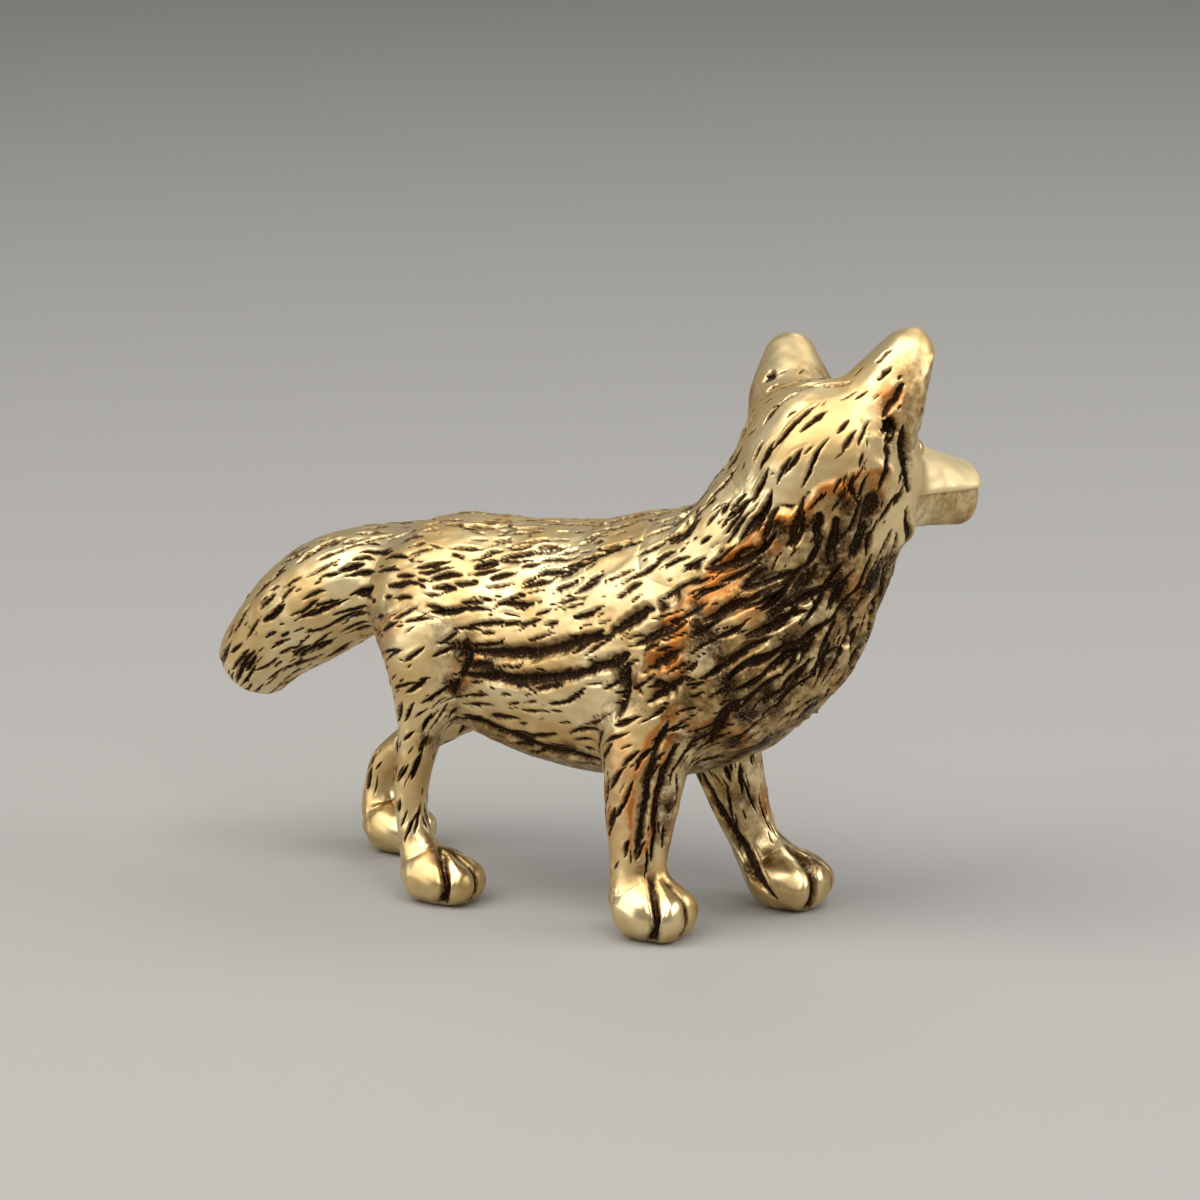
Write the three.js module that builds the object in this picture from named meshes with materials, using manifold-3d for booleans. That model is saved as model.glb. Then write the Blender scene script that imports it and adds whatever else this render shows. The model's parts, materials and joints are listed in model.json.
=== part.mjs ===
// Walking fox trinket in antique brass, in millimetres: +X towards the breast, +Y the fox's left, +Z up.
// Seven castings make the figure. The trunk carries the head, the tail and the four legs, and each of
// these seats on the trunk's skin and plugs into it with a round spigot.

import * as THREE from 'three';
import { mergeVertices } from 'three/addons/utils/BufferGeometryUtils.js';
import Module from 'manifold-3d';

const wasm = await Module();
wasm.setup();

// Joints between the castings
const SEAT_GAP = 0.25;
const SPIGOT_DIAMETER = 1.7;
const SPIGOT_GRIP = 2.2;

// Trunk, spacing of its sections along the back from the rump to the breast
const RUMP_TO_CROUP = 3.7;
const CROUP_TO_LOIN = 4.5;
const LOIN_TO_BELLY = 4.5;
const BELLY_TO_GIRTH = 4.5;
const GIRTH_TO_BRISKET = 4.5;
const BRISKET_TO_BREAST = 1.8;

// Trunk, height of the back above the soles, then width and depth of each section
const RUMP_TOP = 17.8;
const RUMP_WIDTH = 6.4;
const RUMP_DEPTH = 5.8;
const CROUP_TOP = 18.75;
const CROUP_WIDTH = 8.6;
const CROUP_DEPTH = 9.45;
const LOIN_TOP = 18.85;
const LOIN_WIDTH = 9.2;
const LOIN_DEPTH = 11.7;
const BELLY_TOP = 19.1;
const BELLY_WIDTH = 9.8;
const BELLY_DEPTH = 12.6;
const GIRTH_TOP = 20;
const GIRTH_WIDTH = 10.4;
const GIRTH_DEPTH = 12.8;
const BRISKET_TOP = 19.4;
const BRISKET_WIDTH = 9.8;
const BRISKET_DEPTH = 9.8;
const BREAST_TOP = 17.9;
const BREAST_WIDTH = 5;
const BREAST_DEPTH = 5.4;
const RUMP_ROUNDING = 2.2;
const BREAST_ROUNDING = 3;

// Neck in its ruff, which rises from the lower chest through the brisket to the poll
const RUFF_FOOT_DROP = 4.8;
const RUFF_FOOT_SETBACK = 0.5;
const RUFF_FOOT_WIDTH = 6.4;
const RUFF_FOOT_DEPTH = 5.6;
const RUFF_FOOT_ROUNDING = 2.5;
const RUFF_WIDTH = 9.8;
const RUFF_DEPTH = 9;
const THROAT_RISE = 3.8;
const THROAT_REACH = 1.1;
const THROAT_SWAY = 0.3;
const THROAT_WIDTH = 9;
const THROAT_DEPTH = 9;
const POLL_RISE = 8.6;
const POLL_REACH = 2.8;
const POLL_SWAY = 0.6;
const POLL_WIDTH = 7.8;
const POLL_DEPTH = 8;
const POLL_ROUNDING = 2.6;
const HEAD_SEAT_BELOW_POLL = 3.2;

// Withers, which fill the bend from the back up to the nape: places from the middle of the brisket
const WITHERS_FOOT_SETBACK = 6.4;
const WITHERS_FOOT_RISE = 2.3;
const WITHERS_FOOT_WIDTH = 7.6;
const WITHERS_BEND_SETBACK = 2.3;
const WITHERS_BEND_RISE = 3.5;
const WITHERS_BEND_WIDTH = 8.6;
const NAPE_REACH = 0.9;
const NAPE_SWAY = 0.45;
const NAPE_RISE = 7.5;
const NAPE_WIDTH = 7.4;
const WITHERS_DEPTH = 6;
const WITHERS_ROUNDING = 2;
const HEAD_SEAT_BELOW_NAPE = 1.6;

// Locks cut into the ruff, in rows up the neck that each hold one lock more than the row below
const LOCK_LENGTH = 3.2;
const LOCK_WIDTH = 0.8;
const LOCK_DEPTH = 0.36;
const LOCK_FIRST_ROW = 3.2;
const LOCK_ROW_PITCH = 1.8;
const LOCK_ROWS = 4;
const LOCKS_IN_FIRST_ROW = 6;
const LOCK_TURN = 26;
const LOCK_LEAN = 42;
const CHEST_TURN = 270;

// Locks cut into each shoulder, behind the ruff: angles in degrees round the trunk
const SHOULDER_LOCKS = 3;
const SHOULDER_LOCK_START = 17.6;
const SHOULDER_LOCK_RUN = 2.8;
const SHOULDER_LOCK_TURN = 198;
const SHOULDER_LOCK_PITCH = 13;
const SHOULDER_LOCK_CLIMB = 11;

// Grooves cut into each flank: distances from the rump, angles in degrees round the trunk at both ends
const GROOVE_WIDTH = 0.8;
const GROOVE_DEPTH = 0.34;
const UPPER_GROOVE_START = 7.1;
const UPPER_GROOVE_RUN = 9;
const UPPER_GROOVE_TURN = 184;
const UPPER_GROOVE_CLIMB = 19;
const LOWER_GROOVE_START = 7.3;
const LOWER_GROOVE_RUN = 8;
const LOWER_GROOVE_TURN = 196;
const LOWER_GROOVE_CLIMB = 15;
const BELLY_GROOVE_START = 7.4;
const BELLY_GROOVE_RUN = 7;
const BELLY_GROOVE_TURN = 223;
const BELLY_GROOVE_CLIMB = -10;

// Locks cut into each side of the withers: distances from their foot, angles in degrees round them
const WITHERS_LOCKS = 2;
const WITHERS_LOCK_START = 3.2;
const WITHERS_LOCK_RUN = 3;
const WITHERS_LOCK_TURN = 142;
const WITHERS_LOCK_PITCH = 25;
const WITHERS_LOCK_CLIMB = 4;

// Head, turned to the fox's left: angles in degrees, sections spaced from the occiput to the nose
const HEAD_YAW = 72;
const HEAD_PITCH = -10;
const HEAD_ROLL = -9;
const OCCIPUT_BEHIND_POLL = 4.4;
const OCCIPUT_TO_CROWN = 2.9;
const CROWN_TO_CHEEK = 3;
const CHEEK_TO_STOP = 2.4;
const STOP_TO_MUZZLE = 1.9;
const MUZZLE_TO_NOSE = 3.8;
const OCCIPUT_WIDTH = 6.8;
const OCCIPUT_HEIGHT = 6.4;
const OCCIPUT_ROUNDING = 3;
const CROWN_WIDTH = 8.4;
const CROWN_HEIGHT = 7.8;
const CHEEK_WIDTH = 8.3;
const CHEEK_HEIGHT = 7.9;
const CHEEK_DROP = 0.55;
const STOP_WIDTH = 4.7;
const STOP_HEIGHT = 4.9;
const STOP_DROP = 0.9;
const MUZZLE_WIDTH = 3.8;
const MUZZLE_HEIGHT = 3.9;
const MUZZLE_DROP = 0.9;
const NOSE_WIDTH = 2.7;
const NOSE_HEIGHT = 2.8;
const NOSE_DROP = 1.1;
const NOSE_ROUNDING = 0.8;
const MOUTH_LENGTH = 3.4;
const MOUTH_WIDTH = 0.35;
const MOUTH_DEPTH = 0.5;
const EYE_DIAMETER = 1.3;
const EYE_SINK = 0.42;
const EYE_BEHIND_STOP = 0.7;
const EYE_ANGLE = 34;

// Ears, measured from the middle of the head
const EAR_ROOT_SETBACK = 0.4;
const EAR_ROOT_SPREAD = 2.2;
const EAR_ROOT_RISE = 0.6;
const EAR_TIP_FORWARD = 1.3;
const EAR_TIP_SPREAD = 4.4;
const EAR_TIP_RISE = 6.25;
const EAR_WIDTH = 4.3;
const EAR_THICKNESS = 3.4;
const EAR_TIP_WIDTH = 1.9;
const EAR_TIP_THICKNESS = 1.6;
const EAR_TIP_ROUNDING = 0.9;
const EAR_RIM = 0.6;
const EAR_HOLLOW_FORWARD = 1.5;

// Tail, which droops more and more from the root to the tip: angles in degrees
const TAIL_LENGTH = 14.2;
const TAIL_INSET = 2.8;
const TAIL_ROOT_RISE = 1;
const TAIL_ROOT_DROOP = 10;
const TAIL_TIP_DROOP = 55;
const TAIL_ROOT_DIAMETER = 3.8;
const TAIL_BRUSH_DIAMETER = 5.8;
const TAIL_TIP_DIAMETER = 3.5;
const TAIL_TIP_ROUNDING = 1.2;

// Front legs, heights above the soles and diameters across and along the fox
const SHOULDER_DROP = 1.2;
const SHOULDER_SPREAD = 2.6;
const SHOULDER_WIDTH = 4.2;
const SHOULDER_LENGTH = 5.2;
const ELBOW_HEIGHT = 9;
const ELBOW_WIDTH = 3.9;
const ELBOW_LENGTH = 4.4;
const FOREARM_HEIGHT = 6.4;
const FOREARM_WIDTH = 3.4;
const FOREARM_LENGTH = 3.7;
const KNEE_HEIGHT = 3.4;
const KNEE_WIDTH = 2.7;
const KNEE_LENGTH = 2.8;
const FRONT_SHANK_SETBACK = 0.25;

// Grooves cut into the outer side of each front leg: distances from the shoulder, angles in degrees round it
const LEG_GROOVE_WIDTH = 0.8;
const LEG_GROOVE_DEPTH = 0.36;
const OUTER_LEG_GROOVE_START = 1.8;
const OUTER_LEG_GROOVE_RUN = 7;
const OUTER_LEG_GROOVE_TURN = 138;
const OUTER_LEG_GROOVE_CLIMB = -20;
const FORE_LEG_GROOVE_START = 3;
const FORE_LEG_GROOVE_RUN = 4.4;
const FORE_LEG_GROOVE_TURN = 122;
const FORE_LEG_GROOVE_CLIMB = -11;

// Hind legs, heights above the soles and diameters across and along the fox
const HIP_RISE = 1.18;
const HIP_FORWARD = 0.8;
const HIP_SPREAD = 2.7;
const HIP_WIDTH = 4;
const HIP_LENGTH = 6.4;
const THIGH_HEIGHT = 11.8;
const THIGH_WIDTH = 4.2;
const THIGH_LENGTH = 5.2;
const STIFLE_HEIGHT = 8.2;
const STIFLE_SETBACK = 0.5;
const STIFLE_WIDTH = 2.4;
const STIFLE_LENGTH = 2.3;
const HOCK_HEIGHT = 5;
const HOCK_SETBACK = 1.15;
const HOCK_WIDTH = 1.8;
const HOCK_LENGTH = 1.7;
const CANNON_HEIGHT = 2.6;
const CANNON_SETBACK = 0.7;
const CANNON_DIAMETER = 1.75;

// Hind legs, share of the stride that each joint takes
const STIFLE_SWING = 0.1;
const HOCK_SWING = 0.78;

// Stance: how far each foot strides ahead of its shoulder or hip or trails behind it, how far it stands to
// the side of the middle plane, and the slimmer front left leg's share of the front legs' girth
const FRONT_RIGHT_TRAIL = 0.2;
const FRONT_RIGHT_STANCE = 4.6;
const FRONT_LEFT_STRIDE = 3;
const FRONT_LEFT_STANCE = 3.4;
const FRONT_LEFT_SLIMNESS = 0.9;
const HIND_RIGHT_STRIDE = 0.4;
const HIND_RIGHT_STANCE = 4.3;
const HIND_LEFT_TRAIL = 6;
const HIND_LEFT_STANCE = 2.4;

// Paws
const PASTERN_HEIGHT = 1.3;
const PASTERN_DIAMETER = 2.7;
const FRONT_PAW_LENGTH = 3.4;
const FRONT_PAW_WIDTH = 4;
const FRONT_PAW_HEIGHT = 3.2;
const HIND_PAW_LENGTH = 3.5;
const HIND_PAW_WIDTH = 3.6;
const HIND_PAW_HEIGHT = 2.9;
const HEEL_BEHIND_PASTERN = 1;
const SOLE_FLAT_DEPTH = 0.2;
const TOE_COUNT = 4;
const TOE_LENGTH = 2;
const TOE_OVERHANG = 0.15;

// Paws, shares of the pad's own width and height
const HEEL_TAPER = 0.78;
const PAD_END_TAPER = 0.86;
const TOE_HEIGHT_SHARE = 0.8;
const TOE_END_HEIGHT_SHARE = 0.64;
const TOE_FULLNESS = 1.3;
const TOE_PITCH = 0.94;

// Facets of the lofts
const TRUNK_FACETS = { rings: 22, sides: 28 };
const HEAD_FACETS = { rings: 18, sides: 22 };
const LIMB_FACETS = { rings: 13, sides: 18 };
const DETAIL_FACETS = { rings: 8, sides: 14 };
const TOE_FACETS = { rings: 5, sides: 10 };
const GROOVE_FACETS = { rings: 6, sides: 8 };
const SPIGOT_SIDES = 20;

const ACROSS = new THREE.Vector3(0, 1, 0);

// One section of a loft: its middle, its width along the loft's side axis and its depth square to that.
function section(x, y, z, width, depth) {
  return { at: new THREE.Vector3(x, y, z), radii: new THREE.Vector3(width / 2, depth / 2, 0) };
}

// Elliptical sections carried along a smooth spine. Each end is rounded over its cap length, or flat when
// that is zero. stopShort ends the loft before the end of its spine, and grow makes every side larger.
class Loft {
  constructor(sections, { side = ACROSS, startCap = 0, endCap = 0, stopShort = 0 } = {}) {
    this.spine = new THREE.CatmullRomCurve3(sections.map((s) => s.at), false, 'catmullrom', 0.5);
    this.radii = new THREE.CatmullRomCurve3(sections.map((s) => s.radii), false, 'catmullrom', 0.5);
    this.side = side;
    this.startCap = startCap;
    this.endCap = endCap;
    this.length = this.spine.getLength() - stopShort;
  }

  // Point on the spine, with the spine carried on straight beyond both ends.
  pointAt(distance) {
    const inside = THREE.MathUtils.clamp(distance, 0, this.length);
    return this.spine.getPointAt(inside / this.spine.getLength())
      .addScaledVector(this.tangentAt(distance), distance - inside);
  }

  tangentAt(distance) {
    return this.spine.getTangentAt(THREE.MathUtils.clamp(distance, 0, this.length) / this.spine.getLength());
  }

  radiiAt(distance, grow) {
    const inside = THREE.MathUtils.clamp(distance, 0, this.length);
    const radii = this.radii.getPoint(this.spine.getUtoTmapping(inside / this.spine.getLength()));
    const start = this.startCap > 0 ? rounding(distance + grow, this.startCap + grow) : 1;
    const end = this.endCap > 0 ? rounding(this.length + grow - distance, this.endCap + grow) : 1;
    return radii.addScalar(grow).multiplyScalar(start * end);
  }

  geometry({ rings, sides }, grow = 0) {
    const span = this.length + 2 * grow;
    const positions = [...this.pointAt(-grow).toArray()];
    for (let ring = 0; ring <= rings; ring += 1) {
      // Rings stand closer together near the two ends, where the loft rounds off.
      const along = (1 - Math.cos(Math.PI * (ring + 0.5) / (rings + 1))) / 2;
      const flatStart = ring === 0 && this.startCap === 0;
      const flatEnd = ring === rings && this.endCap === 0;
      const distance = (flatStart ? 0 : flatEnd ? 1 : along) * span - grow;
      for (let k = 0; k < sides; k += 1) {
        positions.push(...this.skinAt(distance, 2 * Math.PI * k / sides, grow).toArray());
      }
    }
    positions.push(...this.pointAt(this.length + grow).toArray());
    return tubeGeometry(positions, rings + 1, sides);
  }

  // Point on the skin at a distance along the spine and an angle from the side axis.
  skinAt(distance, angle, grow = 0) {
    const along = this.tangentAt(distance);
    const across = this.side.clone().addScaledVector(along, -this.side.dot(along)).normalize();
    const upright = along.clone().cross(across);
    const radii = this.radiiAt(distance, grow);
    return this.pointAt(distance)
      .addScaledVector(across, radii.x * Math.cos(angle))
      .addScaledVector(upright, radii.y * Math.sin(angle));
  }

  solid(facets, grow = 0) {
    return toSolid(this.geometry(facets, grow));
  }
}

// Share of the full radius at a distance from a rounded end, as on an ellipse.
function rounding(distance, cap) {
  const rest = THREE.MathUtils.clamp(1 - distance / cap, 0, 1);
  return Math.sqrt(1 - rest * rest);
}

// Closed skin over rings of points between two end points.
function tubeGeometry(positions, rings, sides) {
  const index = [];
  const vertex = (ring, k) => 1 + ring * sides + k % sides;
  const last = 1 + rings * sides;
  for (let k = 0; k < sides; k += 1) {
    index.push(0, vertex(0, k + 1), vertex(0, k));
    for (let ring = 0; ring < rings - 1; ring += 1) {
      index.push(vertex(ring, k), vertex(ring, k + 1), vertex(ring + 1, k));
      index.push(vertex(ring + 1, k), vertex(ring, k + 1), vertex(ring + 1, k + 1));
    }
    index.push(last, vertex(rings - 1, k), vertex(rings - 1, k + 1));
  }
  const geometry = new THREE.BufferGeometry();
  geometry.setAttribute('position', new THREE.Float32BufferAttribute(positions, 3));
  geometry.setIndex(index);
  return geometry;
}

// Solid for joining and cutting, from a closed geometry.
function toSolid(geometry) {
  const bare = geometry.clone();
  bare.deleteAttribute('normal');
  bare.deleteAttribute('uv');
  const merged = mergeVertices(bare, 1e-5);
  return new wasm.Manifold(new wasm.Mesh({
    numProp: 3,
    vertProperties: Float32Array.from(merged.attributes.position.array),
    triVerts: Uint32Array.from(merged.index.array),
  }));
}

function fuse(solids) {
  return solids.reduce((whole, next) => whole.add(next));
}

// Round bar between two points, lengthened and thickened by grow.
function bar(from, to, diameter, grow = 0) {
  const axis = to.clone().sub(from);
  const radius = diameter / 2 + grow;
  const geometry = new THREE.CylinderGeometry(radius, radius, axis.length() + 2 * grow, SPIGOT_SIDES);
  geometry.applyQuaternion(new THREE.Quaternion().setFromUnitVectors(ACROSS, axis.clone().normalize()));
  geometry.translate(...from.clone().lerp(to, 0.5).toArray());
  return toSolid(geometry);
}

// Trunk: seven sections, each hung from its height on the back line
function trunkSections() {
  const rows = [
    [0, RUMP_TOP, RUMP_WIDTH, RUMP_DEPTH],
    [RUMP_TO_CROUP, CROUP_TOP, CROUP_WIDTH, CROUP_DEPTH],
    [CROUP_TO_LOIN, LOIN_TOP, LOIN_WIDTH, LOIN_DEPTH],
    [LOIN_TO_BELLY, BELLY_TOP, BELLY_WIDTH, BELLY_DEPTH],
    [BELLY_TO_GIRTH, GIRTH_TOP, GIRTH_WIDTH, GIRTH_DEPTH],
    [GIRTH_TO_BRISKET, BRISKET_TOP, BRISKET_WIDTH, BRISKET_DEPTH],
    [BRISKET_TO_BREAST, BREAST_TOP, BREAST_WIDTH, BREAST_DEPTH],
  ];
  let x = 0;
  return rows.map(([step, top, width, depth]) => {
    x += step;
    return section(x, 0, top - depth / 2, width, depth);
  });
}

const [rump, croup, loin, belly, girth, brisket, breast] = trunkSections();
const trunk = new Loft(
  [rump, croup, loin, belly, girth, brisket, breast],
  { startCap: RUMP_ROUNDING, endCap: BREAST_ROUNDING },
);

// Neck: from the foot of the ruff, between the front legs, up to the poll in the middle of the head
const poll = brisket.at.clone().add(new THREE.Vector3(POLL_REACH, POLL_SWAY, POLL_RISE));
const neckSections = [
  section(brisket.at.x - RUFF_FOOT_SETBACK, 0, brisket.at.z - RUFF_FOOT_DROP, RUFF_FOOT_WIDTH, RUFF_FOOT_DEPTH),
  section(brisket.at.x, 0, brisket.at.z, RUFF_WIDTH, RUFF_DEPTH),
  section(
    brisket.at.x + THROAT_REACH, THROAT_SWAY, brisket.at.z + THROAT_RISE, THROAT_WIDTH, THROAT_DEPTH,
  ),
  section(poll.x, poll.y, poll.z, POLL_WIDTH, POLL_DEPTH),
];
const wholeNeck = new Loft(neckSections, { startCap: RUFF_FOOT_ROUNDING, endCap: POLL_ROUNDING });
const lowerNeck = new Loft(
  neckSections,
  { startCap: RUFF_FOOT_ROUNDING, stopShort: HEAD_SEAT_BELOW_POLL },
);

// Withers: from under the back, through the bend, up under the nape
function besideBrisket(reach, sway, rise, width) {
  return section(brisket.at.x + reach, sway, brisket.at.z + rise, width, WITHERS_DEPTH);
}

const withersSections = [
  besideBrisket(-WITHERS_FOOT_SETBACK, 0, WITHERS_FOOT_RISE, WITHERS_FOOT_WIDTH),
  besideBrisket(-WITHERS_BEND_SETBACK, 0, WITHERS_BEND_RISE, WITHERS_BEND_WIDTH),
  besideBrisket(NAPE_REACH, NAPE_SWAY, NAPE_RISE, NAPE_WIDTH),
];
const wholeWithers = new Loft(withersSections, { startCap: WITHERS_ROUNDING, endCap: WITHERS_ROUNDING });
const lowerWithers = new Loft(
  withersSections,
  { startCap: WITHERS_ROUNDING, stopShort: HEAD_SEAT_BELOW_NAPE },
);

function trunkSolid(grow = 0) {
  return fuse([
    trunk.solid(TRUNK_FACETS, grow),
    lowerNeck.solid(HEAD_FACETS, grow),
    lowerWithers.solid(DETAIL_FACETS, grow),
  ]);
}

const seatCutter = trunkSolid(SEAT_GAP);

// Spindle for cutting a groove in a loft's skin, from one place to another. A place is a distance along
// the loft and an angle round it in degrees.
function grooveCutter(loft, from, to, width, depth) {
  const steps = 4;
  const sections = [];
  for (let step = 0; step <= steps; step += 1) {
    const distance = THREE.MathUtils.lerp(from[0], to[0], step / steps);
    const angle = THREE.MathUtils.degToRad(THREE.MathUtils.lerp(from[1], to[1], step / steps));
    sections.push(section(...loft.skinAt(distance, angle).toArray(), 2 * depth, width));
  }
  const halfway = [(from[0] + to[0]) / 2, THREE.MathUtils.degToRad((from[1] + to[1]) / 2)];
  const outwards = loft.skinAt(...halfway, 1).sub(loft.skinAt(...halfway)).normalize();
  const half = sections[0].at.distanceTo(sections[steps].at) / 2;
  return new Loft(sections, { side: outwards, startCap: half, endCap: half }).solid(GROOVE_FACETS);
}

// Locks of the ruff: each rises towards the middle of the chest, steeper the nearer it lies to it
function ruffLocks() {
  const lean = THREE.MathUtils.degToRad(LOCK_LEAN);
  const rise = LOCK_LENGTH * Math.sin(lean);
  const sweep = THREE.MathUtils.radToDeg(LOCK_LENGTH * Math.cos(lean) / (RUFF_WIDTH / 2));
  const cutters = [];
  for (let row = 0; row < LOCK_ROWS; row += 1) {
    const count = LOCKS_IN_FIRST_ROW + row;
    const distance = LOCK_FIRST_ROW + row * LOCK_ROW_PITCH;
    for (let lock = 0; lock < count; lock += 1) {
      const aside = (lock - (count - 1) / 2) * LOCK_TURN;
      const turn = -THREE.MathUtils.clamp(aside / (2 * LOCK_TURN), -1, 1) * sweep;
      const from = [distance - rise / 2, CHEST_TURN + aside - turn / 2];
      const to = [distance + rise / 2, CHEST_TURN + aside + turn / 2];
      cutters.push(grooveCutter(lowerNeck, from, to, LOCK_WIDTH, LOCK_DEPTH));
    }
  }
  return cutters;
}

// Locks and grooves of both flanks: those of the right flank, and their mirror images on the left
function flankCuts() {
  const rows = [
    [trunk, UPPER_GROOVE_START, UPPER_GROOVE_RUN, UPPER_GROOVE_TURN, UPPER_GROOVE_CLIMB],
    [trunk, LOWER_GROOVE_START, LOWER_GROOVE_RUN, LOWER_GROOVE_TURN, LOWER_GROOVE_CLIMB],
    [trunk, BELLY_GROOVE_START, BELLY_GROOVE_RUN, BELLY_GROOVE_TURN, BELLY_GROOVE_CLIMB],
  ];
  for (let lock = 0; lock < SHOULDER_LOCKS; lock += 1) {
    const turn = SHOULDER_LOCK_TURN - lock * SHOULDER_LOCK_PITCH;
    rows.push([trunk, SHOULDER_LOCK_START, SHOULDER_LOCK_RUN, turn, SHOULDER_LOCK_CLIMB]);
  }
  for (let lock = 0; lock < WITHERS_LOCKS; lock += 1) {
    const turn = WITHERS_LOCK_TURN - lock * WITHERS_LOCK_PITCH;
    rows.push([lowerWithers, WITHERS_LOCK_START, WITHERS_LOCK_RUN, turn, WITHERS_LOCK_CLIMB]);
  }
  return rows.flatMap(([loft, start, run, turn, climb]) => [
    grooveCutter(loft, [start, turn], [start + run, turn - climb], GROOVE_WIDTH, GROOVE_DEPTH),
    grooveCutter(loft, [start, 180 - turn], [start + run, 180 - turn + climb], GROOVE_WIDTH, GROOVE_DEPTH),
  ]);
}

const trunkBlank = trunkSolid().subtract(fuse([...ruffLocks(), ...flankCuts()]));

// Head axes: forward along the muzzle, to the fox's left and up through the crown
const headTurn = new THREE.Quaternion().setFromEuler(new THREE.Euler(
  THREE.MathUtils.degToRad(HEAD_ROLL),
  THREE.MathUtils.degToRad(-HEAD_PITCH),
  THREE.MathUtils.degToRad(HEAD_YAW),
  'ZYX',
));
const headLeft = ACROSS.clone().applyQuaternion(headTurn);

function headPoint(forward, left, up) {
  return new THREE.Vector3(forward, left, up).applyQuaternion(headTurn).add(poll);
}

function headSection(forward, left, up, width, height) {
  return section(...headPoint(forward, left, up).toArray(), width, height);
}

function skullSections() {
  const rows = [
    [-OCCIPUT_BEHIND_POLL, 0, OCCIPUT_WIDTH, OCCIPUT_HEIGHT],
    [OCCIPUT_TO_CROWN, 0, CROWN_WIDTH, CROWN_HEIGHT],
    [CROWN_TO_CHEEK, CHEEK_DROP, CHEEK_WIDTH, CHEEK_HEIGHT],
    [CHEEK_TO_STOP, STOP_DROP, STOP_WIDTH, STOP_HEIGHT],
    [STOP_TO_MUZZLE, MUZZLE_DROP, MUZZLE_WIDTH, MUZZLE_HEIGHT],
    [MUZZLE_TO_NOSE, NOSE_DROP, NOSE_WIDTH, NOSE_HEIGHT],
  ];
  let forward = 0;
  return rows.map(([step, drop, width, height]) => {
    forward += step;
    return headSection(forward, 0, -drop, width, height);
  });
}

// Ear on one side: a thick cone that leans outwards, hollowed from the front down to its root
function ear(side) {
  const midForward = (EAR_TIP_FORWARD - EAR_ROOT_SETBACK) / 2;
  const midSpread = (EAR_ROOT_SPREAD + EAR_TIP_SPREAD) / 2;
  const midRise = (EAR_ROOT_RISE + EAR_TIP_RISE) / 2;
  const cone = (shift, trim) => {
    const broad = [EAR_WIDTH - trim, EAR_THICKNESS - trim];
    return new Loft(
      [
        headSection(shift - EAR_ROOT_SETBACK, side * EAR_ROOT_SPREAD, EAR_ROOT_RISE, ...broad),
        headSection(midForward + shift, side * midSpread, midRise, ...broad),
        headSection(
          EAR_TIP_FORWARD + shift, side * EAR_TIP_SPREAD, EAR_TIP_RISE - trim, EAR_TIP_WIDTH, EAR_TIP_THICKNESS,
        ),
      ],
      { side: headLeft, startCap: EAR_TIP_ROUNDING, endCap: EAR_TIP_ROUNDING },
    );
  };
  return {
    body: cone(0, 0).solid(DETAIL_FACETS),
    hollow: cone(EAR_HOLLOW_FORWARD, 2 * EAR_RIM).solid(DETAIL_FACETS),
  };
}

function noseForward() {
  const steps = [OCCIPUT_TO_CROWN, CROWN_TO_CHEEK, CHEEK_TO_STOP, STOP_TO_MUZZLE, MUZZLE_TO_NOSE];
  return steps.reduce((sum, step) => sum + step, -OCCIPUT_BEHIND_POLL);
}

// Mouth: a slit round the lower half of the muzzle's end
function mouthCut() {
  const front = noseForward();
  const line = -NOSE_DROP - NOSE_HEIGHT / 4;
  const slit = new THREE.BoxGeometry(MOUTH_LENGTH, 2 * MUZZLE_WIDTH, MOUTH_WIDTH);
  const core = new THREE.BoxGeometry(
    2 * (MOUTH_LENGTH - MOUTH_DEPTH), NOSE_WIDTH - 2 * MOUTH_DEPTH, 2 * MOUTH_WIDTH,
  );
  const place = (geometry, forward) => toSolid(
    geometry.applyQuaternion(headTurn).translate(...headPoint(forward, 0, line).toArray()),
  );
  return place(slit, front - MOUTH_LENGTH / 2).subtract(place(core, front - MOUTH_LENGTH));
}

// Eye on one side: a small ball mostly sunk in the skull's skin, behind the stop
function eye(skull, side) {
  const distance = OCCIPUT_TO_CROWN + CROWN_TO_CHEEK + CHEEK_TO_STOP - EYE_BEHIND_STOP;
  const angle = side > 0 ? EYE_ANGLE : 180 - EYE_ANGLE;
  const ball = new THREE.SphereGeometry(EYE_DIAMETER / 2, DETAIL_FACETS.sides, DETAIL_FACETS.rings);
  const socket = skull.skinAt(distance, THREE.MathUtils.degToRad(angle), -EYE_SINK);
  return toSolid(ball.translate(...socket.toArray()));
}

function headBlank() {
  const skull = new Loft(
    skullSections(),
    { side: headLeft, startCap: OCCIPUT_ROUNDING, endCap: NOSE_ROUNDING },
  );
  const ears = [ear(1), ear(-1)];
  const neck = [wholeNeck.solid(HEAD_FACETS), wholeWithers.solid(DETAIL_FACETS)];
  return fuse([skull.solid(HEAD_FACETS), ...neck, ...ears.map((one) => one.body)])
    .subtract(fuse(ears.map((one) => one.hollow)))
    .subtract(mouthCut())
    .add(eye(skull, 1))
    .add(eye(skull, -1));
}

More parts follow.
